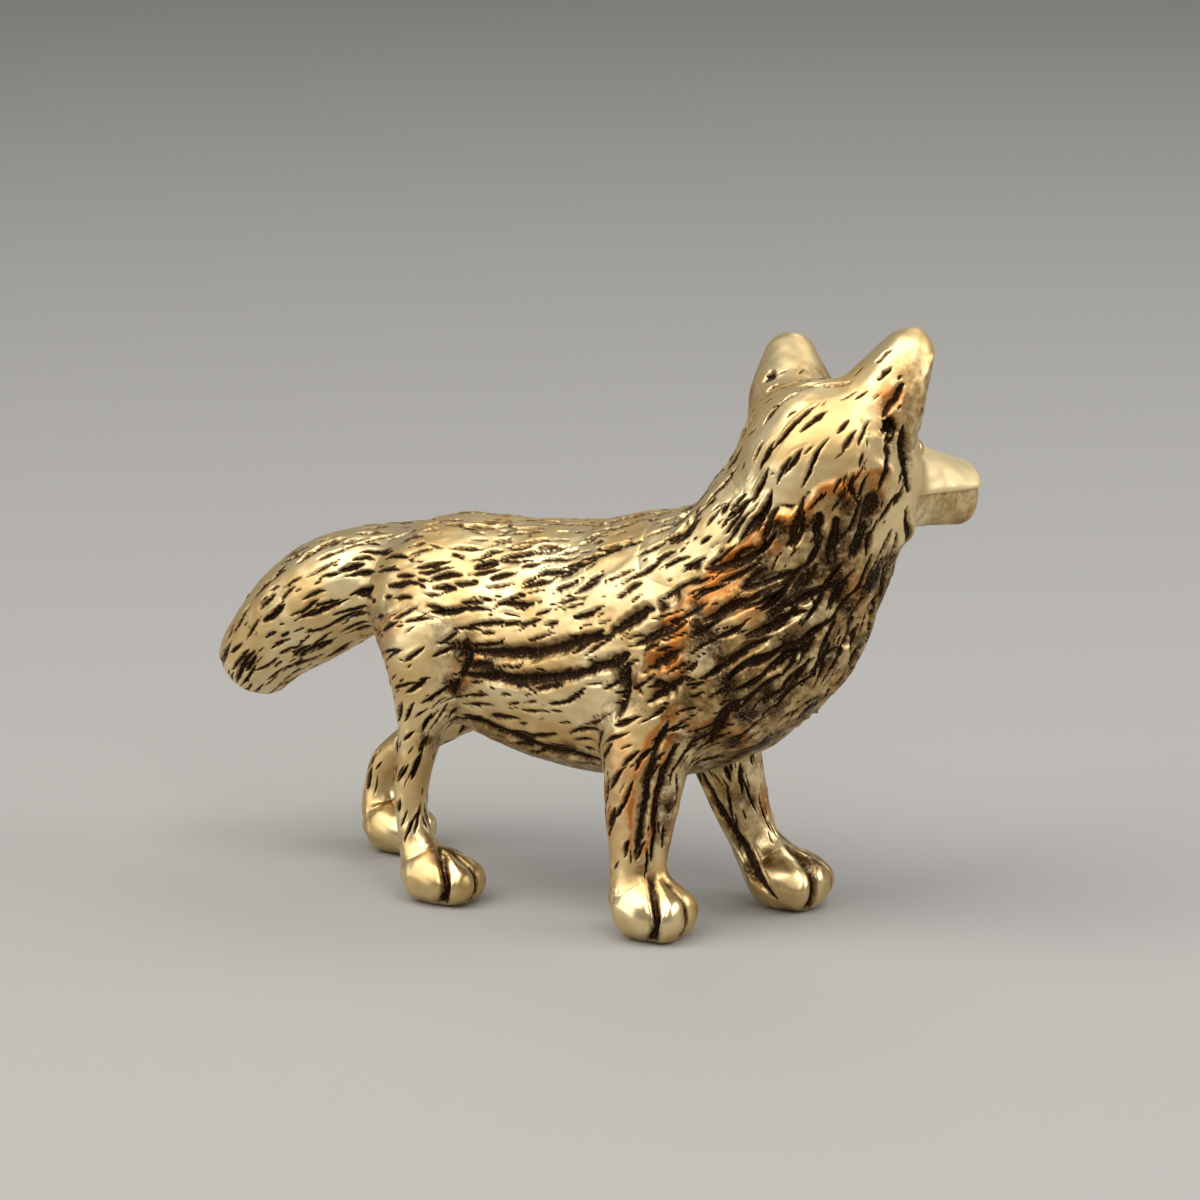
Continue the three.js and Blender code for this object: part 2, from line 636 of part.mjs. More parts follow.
// Tail: equal steps, each drooping more than the one before
function tailLoft() {
  const steps = 5;
  const girths = new THREE.SplineCurve([
    new THREE.Vector2(0, TAIL_ROOT_DIAMETER),
    new THREE.Vector2(0.5, TAIL_BRUSH_DIAMETER),
    new THREE.Vector2(1, TAIL_TIP_DIAMETER),
  ]);
  const at = rump.at.clone().add(new THREE.Vector3(TAIL_INSET, 0, TAIL_ROOT_RISE));
  const sections = [];
  for (let step = 0; step <= steps; step += 1) {
    const diameter = girths.getPoint(step / steps).y;
    sections.push(section(...at.toArray(), diameter, diameter));
    const share = (step + 0.5) / steps;
    const droop = THREE.MathUtils.degToRad(THREE.MathUtils.lerp(TAIL_ROOT_DROOP, TAIL_TIP_DROOP, share));
    const stride = new THREE.Vector3(-Math.cos(droop), 0, -Math.sin(droop));
    at.addScaledVector(stride, TAIL_LENGTH / steps);
  }
  return new Loft(sections, { startCap: TAIL_TIP_ROUNDING, endCap: TAIL_TIP_ROUNDING });
}

// Paw round a pastern: a pad with a flat sole and a row of toes in front
function paw(pastern, { length, width, height }) {
  const heel = pastern.x - HEEL_BEHIND_PASTERN;
  const rest = (x, y, across, tall) => section(x, y, tall / 2 - SOLE_FLAT_DEPTH, across, tall);
  const pad = new Loft(
    [
      rest(heel, pastern.y, width * HEEL_TAPER, height * HEEL_TAPER),
      rest(heel + length / 2, pastern.y, width, height),
      rest(heel + length, pastern.y, width * PAD_END_TAPER, height * PAD_END_TAPER),
    ],
    { startCap: length / 4, endCap: length / 5 },
  );
  const front = heel + length + TOE_OVERHANG;
  const toeWidth = width / TOE_COUNT;
  const toes = [];
  for (let toe = 0; toe < TOE_COUNT; toe += 1) {
    const y = pastern.y + (toe - (TOE_COUNT - 1) / 2) * toeWidth * TOE_PITCH;
    const lobe = new Loft(
      [
        rest(front - TOE_LENGTH, y, toeWidth, height * TOE_END_HEIGHT_SHARE),
        rest(front - TOE_LENGTH / 2, y, toeWidth * TOE_FULLNESS, height * TOE_HEIGHT_SHARE),
        rest(front, y, toeWidth, height * TOE_END_HEIGHT_SHARE),
      ],
      { startCap: TOE_LENGTH / 3, endCap: TOE_LENGTH / 3 },
    );
    toes.push(lobe.solid(TOE_FACETS));
  }
  return fuse([pad.solid(DETAIL_FACETS), ...toes]);
}

// Everything below the soles' plane, for cutting the soles flat
function groundCutter() {
  const reach = 200;
  return toSolid(new THREE.BoxGeometry(reach, reach, reach).translate(0, 0, -reach / 2));
}

// Grooves down the outer side of a front leg
function legGrooves(leg, side) {
  const rows = [
    [OUTER_LEG_GROOVE_START, OUTER_LEG_GROOVE_RUN, OUTER_LEG_GROOVE_TURN, OUTER_LEG_GROOVE_CLIMB],
    [FORE_LEG_GROOVE_START, FORE_LEG_GROOVE_RUN, FORE_LEG_GROOVE_TURN, FORE_LEG_GROOVE_CLIMB],
  ];
  const outside = (turn) => (side < 0 ? turn : 180 - turn);
  return fuse(rows.map(([start, run, turn, climb]) => grooveCutter(
    leg, [start, outside(turn)], [start + run, outside(turn - climb)], LEG_GROOVE_WIDTH, LEG_GROOVE_DEPTH,
  )));
}

// Front leg: a column from the girth that leans towards its foot
function frontLeg({ side, stride, stance, slimness = 1 }) {
  const top = girth.at.clone().add(new THREE.Vector3(0, side * SHOULDER_SPREAD, -SHOULDER_DROP));
  const foot = new THREE.Vector3(girth.at.x + stride, side * stance, PASTERN_HEIGHT);
  const lean = (height) => {
    const share = THREE.MathUtils.clamp((top.z - height) / (top.z - foot.z), 0, 1);
    return { x: top.x + stride * share * share, y: top.y + (foot.y - top.y) * Math.sqrt(share) };
  };
  const joint = (height, width, length) => {
    const { x, y } = lean(height);
    return section(x - FRONT_SHANK_SETBACK, y, height, width * slimness, length * slimness);
  };
  const forearm = joint(FOREARM_HEIGHT, FOREARM_WIDTH, FOREARM_LENGTH);
  const leg = new Loft(
    [
      section(...top.toArray(), SHOULDER_WIDTH, SHOULDER_LENGTH),
      joint(ELBOW_HEIGHT, ELBOW_WIDTH, ELBOW_LENGTH),
      forearm,
      joint(KNEE_HEIGHT, KNEE_WIDTH, KNEE_LENGTH),
      section(...foot.toArray(), PASTERN_DIAMETER, PASTERN_DIAMETER),
    ],
    { startCap: SHOULDER_LENGTH / 2, endCap: PASTERN_DIAMETER / 3 },
  );
  const size = { length: FRONT_PAW_LENGTH, width: FRONT_PAW_WIDTH, height: FRONT_PAW_HEIGHT };
  const column = leg.solid(LIMB_FACETS).subtract(legGrooves(leg, side));
  return { blank: column.add(paw(foot, size)), outer: forearm.at, inner: top };
}

// Hind leg: thigh, stifle, hock and cannon, with the hock swung back when the foot trails
function hindLeg({ side, stride, stance }) {
  const hip = croup.at.clone().add(new THREE.Vector3(HIP_FORWARD, side * HIP_SPREAD, HIP_RISE));
  const foot = new THREE.Vector3(hip.x + stride, side * stance, PASTERN_HEIGHT);
  const joint = (height, forward, width, length) => {
    const share = THREE.MathUtils.clamp((hip.z - height) / (hip.z - foot.z), 0, 1);
    const y = hip.y + (foot.y - hip.y) * share;
    return section(hip.x + forward, y, height, width, length);
  };
  const stifle = joint(STIFLE_HEIGHT, stride * STIFLE_SWING - STIFLE_SETBACK, STIFLE_WIDTH, STIFLE_LENGTH);
  const leg = new Loft(
    [
      section(...hip.toArray(), HIP_WIDTH, HIP_LENGTH),
      joint(THIGH_HEIGHT, 0, THIGH_WIDTH, THIGH_LENGTH),
      stifle,
      joint(HOCK_HEIGHT, stride * HOCK_SWING - HOCK_SETBACK, HOCK_WIDTH, HOCK_LENGTH),
      joint(CANNON_HEIGHT, stride - CANNON_SETBACK, CANNON_DIAMETER, CANNON_DIAMETER),
      section(...foot.toArray(), PASTERN_DIAMETER, PASTERN_DIAMETER),
    ],
    { startCap: HIP_LENGTH / 3, endCap: PASTERN_DIAMETER / 3 },
  );
  const size = { length: HIND_PAW_LENGTH, width: HIND_PAW_WIDTH, height: HIND_PAW_HEIGHT };
  return { blank: leg.solid(LIMB_FACETS).add(paw(foot, size)), outer: stifle.at, inner: hip };
}

const brass = new THREE.MeshStandardMaterial({ color: 0xb8924a, roughness: 0.32, metalness: 1 });

function casting(name, solid) {
  const { vertProperties, triVerts } = solid.getMesh();
  const geometry = new THREE.BufferGeometry();
  geometry.setAttribute('position', new THREE.BufferAttribute(Float32Array.from(vertProperties), 3));
  geometry.setIndex(new THREE.BufferAttribute(Uint32Array.from(triVerts), 1));
  geometry.computeVertexNormals();
  const mesh = new THREE.Mesh(geometry, brass);
  mesh.name = name;
  return mesh;
}

// Pieces that plug into the trunk: the blank of each, and the two ends of its spigot
function pluggedPieces() {
  const neckSeat = lowerNeck.length;
  const tail = tailLoft();
  const pieces = [
    {
      name: 'head',
      blank: headBlank(),
      outer: wholeNeck.pointAt(neckSeat + SPIGOT_GRIP),
      inner: wholeNeck.pointAt(neckSeat - SPIGOT_GRIP),
    },
    {
      name: 'tail',
      blank: tail.solid(LIMB_FACETS),
      outer: tail.pointAt(TAIL_INSET + SPIGOT_GRIP),
      inner: tail.pointAt(0),
    },
  ];
  const legs = [
    ['front_right_leg', frontLeg({ side: -1, stride: -FRONT_RIGHT_TRAIL, stance: FRONT_RIGHT_STANCE })],
    ['front_left_leg', frontLeg({
      side: 1, stride: FRONT_LEFT_STRIDE, stance: FRONT_LEFT_STANCE, slimness: FRONT_LEFT_SLIMNESS,
    })],
    ['hind_right_leg', hindLeg({ side: -1, stride: HIND_RIGHT_STRIDE, stance: HIND_RIGHT_STANCE })],
    ['hind_left_leg', hindLeg({ side: 1, stride: -HIND_LEFT_TRAIL, stance: HIND_LEFT_STANCE })],
  ];
  const ground = groundCutter();
  for (const [name, { blank, outer, inner }] of legs) {
    pieces.push({ name, blank: blank.subtract(ground), outer, inner });
  }
  return pieces;
}

function buildFox() {
  const fox = new THREE.Group();
  fox.name = 'fox_trinket';
  let bored = trunkBlank;
  for (const { name, blank, outer, inner } of pluggedPieces()) {
    const spigot = bar(outer, inner, SPIGOT_DIAMETER);
    bored = bored.subtract(bar(outer, inner, SPIGOT_DIAMETER, SEAT_GAP));
    fox.add(casting(name, blank.subtract(seatCutter).add(spigot)));
  }
  fox.add(casting('trunk', bored));

  // The origin is the middle of the figure's box, on the plane of the soles.
  const box = new THREE.Box3().setFromObject(fox);
  const middle = box.getCenter(new THREE.Vector3());
  fox.position.set(-middle.x, -middle.y, -box.min.z);
  fox.updateMatrixWorld(true);
  return fox;
}

export default buildFox();
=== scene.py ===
"""Walking fox trinket in antique brass: carved skins over the solids of its frame.

Sizes are in millimetres, measured from the rump's section: +X towards the breast, +Y to the fox's left
and +Z up from the soles. They become metres on the frame's own axes when a mesh is written.
"""

import json
import logging
import math
from collections.abc import Callable, Sequence
from dataclasses import dataclass, field, replace
from enum import Enum

import bpy
import numpy as np
import numpy.typing as npt
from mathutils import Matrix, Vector


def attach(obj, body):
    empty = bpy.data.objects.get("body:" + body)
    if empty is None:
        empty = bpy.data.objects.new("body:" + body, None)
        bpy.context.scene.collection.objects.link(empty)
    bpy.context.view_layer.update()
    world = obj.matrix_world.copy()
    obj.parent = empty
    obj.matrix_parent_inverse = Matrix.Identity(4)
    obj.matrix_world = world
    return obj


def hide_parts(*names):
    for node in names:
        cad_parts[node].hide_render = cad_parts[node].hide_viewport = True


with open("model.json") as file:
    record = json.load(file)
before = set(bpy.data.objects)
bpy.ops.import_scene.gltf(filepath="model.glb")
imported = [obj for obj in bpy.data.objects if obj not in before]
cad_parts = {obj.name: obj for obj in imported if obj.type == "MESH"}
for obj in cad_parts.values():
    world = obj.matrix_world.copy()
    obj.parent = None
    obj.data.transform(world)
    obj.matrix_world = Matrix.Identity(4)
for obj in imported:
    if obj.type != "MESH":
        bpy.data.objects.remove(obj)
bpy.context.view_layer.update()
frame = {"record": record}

LOG = logging.getLogger("fox")
MM = 0.001
TAU = 2 * math.pi

Array = npt.NDArray[np.float64]
Flow = Callable[[Array], Array]
Flags = npt.NDArray[np.bool_]
Mask = Callable[[Array], Flags]
Span = tuple[float, float]
Band = tuple[Span, Span]
Point = tuple[float, float, float]
Dressed = tuple[bpy.types.Object, str]


class Side(Enum):
    """Which side of the fox a piece is on, as the sign of its Y."""

    RIGHT = -1
    LEFT = 1


def unit(vectors: Array) -> Array:
    """Vectors scaled to length one along the last axis."""
    return vectors / np.maximum(np.linalg.norm(vectors, axis=-1, keepdims=True), 1e-12)


def ramp(low: float, high: float, values: Array) -> Array:
    """Smooth step of values: 0 up to low, 1 from high, and 3t^2 - 2t^3 between them."""
    t = np.clip((values - low) / (high - low), 0, 1)
    return t * t * (3 - 2 * t)


def band(rise: Span, fall: Span, values: Array) -> Array:
    """Smooth band of values: up from 0 to 1 over the rise and down again over the fall."""
    return ramp(*rise, values) * (1 - ramp(*fall, values))


def bell(values: Array, width: float = 1) -> Array:
    """Bell of values round 0: exp(-(v / width)^2)."""
    return np.exp(-((values / width) ** 2))


def turning(axis: int, degrees: float) -> Array:
    """Matrix of a turn about axis 0, 1 or 2, by the right-hand rule."""
    angle = math.radians(degrees)
    first, second = (axis + 1) % 3, (axis + 2) % 3
    matrix = np.eye(3)
    matrix[first, first] = matrix[second, second] = math.cos(angle)
    matrix[first, second] = -math.sin(angle)
    matrix[second, first] = math.sin(angle)
    return matrix


def rising(degrees: Array) -> Array:
    """Directions in the fox's middle plane that rise towards the breast at these angles."""
    angle = np.radians(degrees)
    return np.stack([np.cos(angle), np.zeros_like(angle), np.sin(angle)], axis=-1)


def catmull_rom(knots: Array, t: Array) -> Array:
    """Uniform Catmull-Rom curve: cubic between neighbouring knots, with half the chord as slope.

    Args:
        knots: One row per knot.
        t: Places along the curve, where a whole number is a knot.

    Returns:
        One row per place.
    """
    padded = np.vstack([2 * knots[0] - knots[1], knots, 2 * knots[-1] - knots[-2]])
    i = np.clip(t.astype(int), 0, len(knots) - 2)
    u = (t - i)[:, None]
    before, start, end, after = (padded[i + k] for k in range(4))
    leave, arrive = (end - before) / 2, (after - start) / 2
    bend = 3 * (end - start) - 2 * leave - arrive
    twist = 2 * (start - end) + leave + arrive
    return start + leave * u + bend * u**2 + twist * u**3


def rounding(distance: Array, cap: float) -> Array:
    """Share of the full radius at a distance from an end that is rounded over cap, as on an ellipse."""
    if cap <= 0:
        return np.ones_like(distance)
    rest = np.clip(1 - distance / cap, 0, 1)
    return np.sqrt(1 - rest**2)


def waves(points: Array, wavelength: float, seed: int, count: int = 14) -> Array:
    """Smooth lumps of about unit size: a sum of sines along seeded directions.

    Args:
        points: Any array of points, in mm.
        wavelength: Size of the lumps, in mm.
        seed: Seed of the directions and phases.
        count: How many sines are added.

    Returns:
        One value per point.
    """
    rng = np.random.default_rng(seed)
    directions = unit(rng.normal(size=(count, 3))) * TAU / wavelength * rng.uniform(0.6, 1.4, (count, 1))
    phases = rng.uniform(0, TAU, count)
    return np.sin(points @ directions.T + phases).sum(axis=-1) / math.sqrt(count / 2)


@dataclass(frozen=True)
class Section:
    """One elliptical section: its middle, its width across and its depth square to that."""

    middle: Point
    width: float
    depth: float


class Form:
    """Elliptical sections carried along a smooth spine, rounded off at both ends."""

    SAMPLES = 400  # rows of the spine's table
    COARSE = 8  # every how many of them are tried first for a foot
    CLOSE = 4.5  # distance up to which sections near the foot are searched
    LEAST = 0.02  # least half size, so that a rounded end still has a radius
    ON_SPINE = 0.05  # way past an end of the spine that still counts as beside it
    SEARCHES = ((2.4, 9), (0.6, 7), (0.15, 5))  # half span and tries of each search

    def __init__(
        self,
        sections: Sequence[Section],
        side: Sequence[float] = (0, 1, 0),
        start_cap: float = 0,
        end_cap: float = 0,
    ) -> None:
        """Lays out the spine at even steps of its length, with axes and half sizes at each.

        Args:
            sections: Sections from one end to the other.
            side: Direction that the sections' width lies along.
            start_cap: Length over which the first end rounds off.
            end_cap: Length over which the last end rounds off.
        """
        knots = np.array([[*s.middle, s.width / 2, s.depth / 2] for s in sections], float)
        line = catmull_rom(knots, np.linspace(0, len(knots) - 1, self.SAMPLES))
        steps = np.linalg.norm(np.diff(line[:, :3], axis=0), axis=1)
        travelled = np.concatenate([[0], np.cumsum(steps)])
        self.length = float(travelled[-1])
        self.start_cap, self.end_cap = start_cap, end_cap
        even = np.linspace(0, self.length, self.SAMPLES)
        line = np.stack([np.interp(even, travelled, column) for column in line.T], axis=-1)
        along = unit(np.gradient(line[:, :3], axis=0))
        lateral = np.array(side, float)
        across = unit(lateral - (along @ lateral)[:, None] * along)
        self.axes = np.hstack([line[:, :3], along, across, np.cross(along, across)])
        self.halves = np.ascontiguousarray(line[:, 3:])

    def between(self, table: Array, s: Array) -> Array:
        """Rows of a table of samples at distances s along the spine, straight lines between them."""
        place = np.clip(s / self.length, 0, 1) * (self.SAMPLES - 1)
        low = np.minimum(place.astype(int), self.SAMPLES - 2)
        share = (place - low)[..., None]
        return table[low] * (1 - share) + table[low + 1] * share

    def half_sizes(self, s: Array) -> Array:
        """Half width and half depth at distances s, with both ends rounded off."""
        round_off = rounding(s, self.start_cap) * rounding(self.length - s, self.end_cap)
        return self.between(self.halves, s) * round_off[..., None]

    def radius(self, s: Array, turn: Array) -> Array:
        """Radius of the section at distances s in unit directions turn: one over the ellipse's measure."""
        half = np.maximum(self.half_sizes(s), self.LEAST)
        return 1 / np.hypot(turn[..., 0] / half[..., 0], turn[..., 1] / half[..., 1])

    def even_stations(self, rows: int) -> Array:
        """Distances along the spine whose steps are even along the skin's own profile, poles left out."""
        s = (1 - np.cos(np.linspace(0, math.pi, 2000))) / 2 * self.length
        profile = self.half_sizes(s).mean(axis=-1)
        travelled = np.concatenate([[0], np.cumsum(np.hypot(np.diff(s), np.diff(profile)))])
        return np.interp((np.arange(rows) + 0.5) / rows * travelled[-1], travelled, s)

    def outside(self, points: Array) -> Array:
        """Distance of points from this form's skin, negative inside.

        The foot of a point on the spine gives its reach from the spine and its turn round it. The
        distance is the least of hypot(reach - radius, way along the spine) over sections near the foot.

        Args:
            points: Array of points with three columns at the end.

        Returns:
            One distance per point.
        """
        flat = points.reshape(-1, 3)
        coarse = self.axes[:: self.COARSE, :3]
        s = np.argmin((coarse**2).sum(axis=1) - 2 * flat @ coarse.T, axis=1) * self.COARSE
        s = s * self.length / (self.SAMPLES - 1)
        for _ in range(3):
            row = self.between(self.axes[:, :6], s)
            s = np.clip(s + ((flat - row[:, 0:3]) * row[:, 3:6]).sum(axis=1), 0, self.length)
        row = self.between(self.axes, s)
        offset = flat - row[:, 0:3]
        u, v, past = ((offset * row[:, k : k + 3]).sum(axis=1) for k in (6, 9, 3))
        reach = np.maximum(np.hypot(u, v), 1e-6)
        turn = np.stack([u, v], axis=-1) / reach[:, None]
        gap = reach - self.radius(s, turn)
        beside = np.abs(past) < self.ON_SPINE
        inside = (gap < 0) & beside
        gap = np.where(beside, gap, np.hypot(np.maximum(gap, 0), past))
        near = np.flatnonzero(np.abs(gap) < self.CLOSE)
        best, here = s[near], (s + past)[near]
        for span, count in self.SEARCHES:
            tries = np.clip(best[:, None] + np.linspace(-span, span, count), 0, self.length)
            inwards = reach[near, None] - self.radius(tries, turn[near, None, :])
            apart = np.hypot(inwards, tries - here[:, None])
            best = np.take_along_axis(tries, apart.argmin(axis=1)[:, None], axis=1)[:, 0]
            gap[near] = apart.min(axis=1)
        gap = np.where(inside, -np.abs(gap), gap)
        return gap.reshape(points.shape[:-1])


@dataclass(frozen=True)
class Meeting:
    """A neighbouring form that a skin blends into, and how much patina and painted shade gather in its inner
    corner.
    """

    form: Form
    darkening: float = 0


@dataclass(frozen=True)
class Stroke:
    """One stroke of the graver: a bowed lens, laid flat on the skin at a point."""

    at: Array
    normal: Array
    along: Array
    length: float
    width: float
    depth: float
    lip: float = 0
    bend: float = 0
    dark: bool = True


@dataclass(frozen=True)
class Coat:
    """How fur is cut: strokes in staggered rows. Sizes run from the first number to the second."""

    pitch_along: float
    pitch_round: float
    length: Span
    width: Span
    depth: Span
    lip: float = 0.05
    skipped: float = 0.12
    swerve: float = 10
    bend: float = 0.05
    dark: bool = True


SWELLS = Coat(2.6, 1.3, (2, 4), (0.7, 1.2), (0.03, 0.06), lip=0, dark=False)
SLASHES = Coat(3, 1.6, (1.4, 3.2), (0.3, 0.5), (0.18, 0.28), lip=0.06, skipped=0.3)
TICKS = Coat(1.1, 0.65, (0.3, 1.1), (0.08, 0.16), (0.05, 0.09), lip=0.02, skipped=0.4, swerve=18)


@dataclass(frozen=True)
class Groove:
    """A long cut with lips along a path near the skin, or a ridge where its depth is below 0."""

    path: tuple[Point, ...]
    width: float
    depth: float
    lip: float = 0.05
    mirrored: bool = True
    core: float = 0.6
    copper: float = 0


@dataclass(frozen=True)
class ShadeAndPatinaSmudge:
    """A soft patch of painted shade and patina round a point, alike on both sides of the fox."""

    at: Point
    radius: float
    strength: float = 1.5


class Skin:
    """A grid of points over one form, rows along its spine and columns round it, that can be carved."""

    FACING = 0.2  # least cosine between a stroke's face and the skin that it cuts
    LENS = 0.9  # how soon a stroke narrows towards its ends
    COARSE = 4  # every how many rows and columns the blend is worked out first
    BLEND = 0.42  # size of the rounding where two forms meet
    BLEND_STEPS = (12, 2)  # steps on the coarse grid and on the whole one
    KEPT, MOVED = 0.3, 0.7  # shares of the old and the new height in each step
    OVERLAP = 0.3  # how far a skin runs on past the seam
    DIVE = 0.07  # how far it has sunk there
    BURIAL = 0.5  # how much further it sinks under the neighbour
    HIDDEN = 0.05  # how far past the seam a point counts as covered
    CORNER = (0.1, 1.2)  # distances from the seam over which the corner's patina and painted shade fade
    PARALLEL = (0.5, 0.95)  # cosines between two skins over which their blend fades
    PARALLEL_SHARE = 0.2  # share of the blend that is left then
    LAYER = 1.1  # how far below a stroke it still cuts
    WEAR = 0.7  # how much patina is worn off level ground
    LEVEL = (0.4, 0.9)  # upward shares of the normal over which ground counts as level
    WARPS = ((0.04, 1.2, 51), (0.026, 1.8, 52), (0.01, 0.4, 53))  # size, wavelength and seed of each waver
    LIP_AT, LIP_WIDTH, RIM_WIDTH = 1.5, 0.6, 0.5  # lips of strokes and rims of grooves, in half widths

    def __init__(self, form: Form, rows: int, columns: int, meetings: Sequence[Meeting] = ()) -> None:
        """Lays the grid on the form and raises fillets towards the neighbouring forms.

        Args:
            form: The form under the skin.
            rows: Rows of points along the spine.
            columns: Columns of points round it, a multiple of COARSE.
            meetings: Neighbouring forms and how the skin meets them.
        """
        self.form = form
        self.s = form.even_stations(rows)
        self.theta = TAU * np.arange(columns) / columns
        axes = form.between(form.axes, self.s)[:, None, :]
        half = form.half_sizes(self.s)[:, None, :]
        turn = self.theta[None, :, None]
        sideways = axes[..., 6:9] * half[..., 0:1] * np.cos(turn)
        upwards = axes[..., 9:12] * half[..., 1:2] * np.sin(turn)
        base = axes[..., 0:3] + sideways + upwards
        normals = self.facing(base)
        every = slice(None, None, self.COARSE)
        weights = [self.weight(base[every, every], normals[every, every], m.form) for m in meetings]
        height = np.zeros(base[every, every].shape[:2])
        first, last = self.BLEND_STEPS
        height = self.blend(base[every, every], normals[every, every], meetings, weights, height, first)
        weights = [self.spread(weight, rows) for weight in weights]
        height = self.blend(base, normals, meetings, weights, self.spread(height, rows), last)
        self.points = base + normals * height[..., None]
        ends = form.between(form.axes, np.array([0.0, form.length]))
        self.pole_faces = ends[:, 3:6] * np.array([[-1.0], [1.0]])
        self.poles = ends[:, 0:3] + self.pole_faces * height[[0, -1]].mean(axis=1)[:, None]
        self.normals = self.facing(self.points)
        self.row_axes = axes[:, 0, 0:6]
        middles = self.points - self.row_axes[:, None, 0:3]
        self.row_reach = np.linalg.norm(middles, axis=-1).max(axis=1)
        along, across, fine = (size * waves(self.points, long, seed) for size, long, seed in self.WARPS)
        self.warp_along, self.warp_across = along, across + fine
        blank = np.zeros_like(height)
        self.lift, self.hollow, self.carved, self.copper, self.matte = (blank.copy() for _ in range(5))
        self.hidden = np.zeros(height.shape, bool)
        # The cut value holds the patina of the cuts and the stain round them, and also painted shade where it
        # is raised without a cut.
        self.cut = -np.ones_like(height)
        self.notice(meetings, height)

    @staticmethod
    def facing(points: Array) -> Array:
        """Outward unit normals of a grid: the cross product of its steps round and along."""
        along = np.gradient(points, axis=0)
        around = np.roll(points, -1, axis=1) - np.roll(points, 1, axis=1)
        return unit(np.cross(around, along))

    def weight(self, base: Array, normals: Array, form: Form) -> Array:
        """How fully points blend into a neighbour: less where the two skins lie nearly parallel.

        Args:
            base: Points on this form.
            normals: Normals of this form there.
            form: The neighbour, whose normal is the slope of its distance.

        Returns:
            One share per point, from PARALLEL_SHARE to 1.
        """
        step = 0.15
        here = form.outside(base)
        slope = unit(np.stack([form.outside(base + step * axis) - here for axis in np.eye(3)], axis=-1))
        return 1 - (1 - self.PARALLEL_SHARE) * ramp(*self.PARALLEL, (slope * normals).sum(axis=-1))

    def blend(
        self,
        base: Array,
        normals: Array,
        meetings: Sequence[Meeting],
        weights: Sequence[Array],
        height: Array,
        steps: int,
    ) -> Array:
        """Raises points onto the rounded union of this form and its neighbours.

        A point raised by h is h away from its own form and b from a neighbour. The union's skin lies
        where h = k ln(1 + the sum of w exp((h - b) / k) over the neighbours of weight w). Past the seam,
        where h - b is over the overlap, the skin turns back under the neighbour.

        Args:
            base: Points on the form.
            normals: Directions in which the points move.
            meetings: Neighbouring forms.
            weights: How fully each point blends into each neighbour.
            height: How far each point has moved already.
            steps: How many steps are made, each most of the way there.

        Returns:
            How far each point has moved.
        """
        for _ in range(steps if meetings else 0):
            points = base + normals * height[..., None]
            near = np.zeros_like(height)
            for meeting, weight in zip(meetings, weights):
                past = height - meeting.form.outside(points)
                past = np.where(past < self.OVERLAP, past, 2 * self.OVERLAP - past)
                near += weight * np.exp(past / self.BLEND)
            height = self.KEPT * height + self.MOVED * self.BLEND * np.log1p(near)
        return height

    def spread(self, coarse: Array, rows: int) -> Array:
        """Values of every few rows and columns, spread over all of them along straight lines."""
        place = np.minimum(np.arange(rows) / self.COARSE, len(coarse) - 1)
        low = np.minimum(place.astype(int), len(coarse) - 2)
        share = (place - low)[:, None]
        filled = coarse[low] * (1 - share) + coarse[low + 1] * share
        place = np.arange(len(self.theta)) / self.COARSE
        low = place.astype(int)
        share = place - low
        return filled[:, low] * (1 - share) + filled[:, (low + 1) % coarse.shape[1]] * share

    def notice(self, meetings: Sequence[Meeting], height: Array) -> None:
        """Finds points that a neighbour covers, sinks them, and paints patina and shade into the inner
        corners.
        """
        for meeting in meetings:
            past = height - meeting.form.outside(self.points)
            self.hidden |= past > self.HIDDEN
            sink = self.DIVE * np.clip(past / self.OVERLAP, 0, 1)
            self.hollow = np.maximum(self.hollow, sink + self.BURIAL * ramp(self.OVERLAP, 1, past))
            # Painted shade and patina in the inner corner by the seam.
            self.paint_stain_and_shade(meeting.darkening * (1 - ramp(*self.CORNER, np.abs(past))))

    def paint_stain_and_shade(self, amount: Array) -> None:
        """Darkens with stain and painted shade: an amount of 0 leaves bare metal, 1 a brown stain and 2 solid
        patina.
        """
        self.cut = np.maximum(self.cut, amount - 1)

    def at(self, s: float, degrees: float) -> Point:
        """Point of the skin nearest to a distance along the spine and an angle round it."""
        row = int(np.argmin(np.abs(self.s - s)))
        column = round(degrees / 360 * len(self.theta)) % len(self.theta)
        return tuple(self.points[row, column])

    def rows_near(self, at: Array, reach: float) -> slice:
        """Rows that come within reach of a point, measured along the spine and square to it."""
        offset = at - self.row_axes[:, 0:3]
        along = np.abs((offset * self.row_axes[:, 3:6]).sum(axis=1))
        near = np.flatnonzero((along < reach) & (np.linalg.norm(offset, axis=1) < self.row_reach + reach))
        return slice(near[0], near[-1] + 1) if len(near) else slice(0, 0)

    def engrave(self, stroke: Stroke) -> None:
        """Cuts one stroke: a bowed lens whose floor is 1 - rho^2 deep, with a raised lip on one side.

        Args:
            stroke: Where the stroke lies, its sizes and whether patina fills it.
        """
        rows = self.rows_near(stroke.at, stroke.length / 2 + 2 * stroke.width)
        if rows.stop == rows.start:
            return
        offset = self.points[rows] - stroke.at
        x = (offset @ stroke.along + self.warp_along[rows]) / (stroke.length / 2)
        y = offset @ np.cross(stroke.normal, stroke.along) + self.warp_across[rows]
        y = y - stroke.bend * stroke.length * x**2
        flat = np.abs(offset @ stroke.normal) < self.LAYER
        faces = (self.normals[rows] @ stroke.normal > self.FACING) | self.hidden[rows]
        inside = np.where(flat & faces, np.clip(1 - x**2, 0, 1), 0)
        rho = y / (stroke.width / 2 * inside**self.LENS + 1e-9)
        share = np.where(inside > 0, 1 - np.abs(rho), -1)
        self.mark(rows, share, stroke.depth * np.sqrt(inside), stroke.dark)
        rise = stroke.lip * bell(rho - self.LIP_AT, self.LIP_WIDTH) * inside
        self.lift[rows] = np.maximum(self.lift[rows], rise)

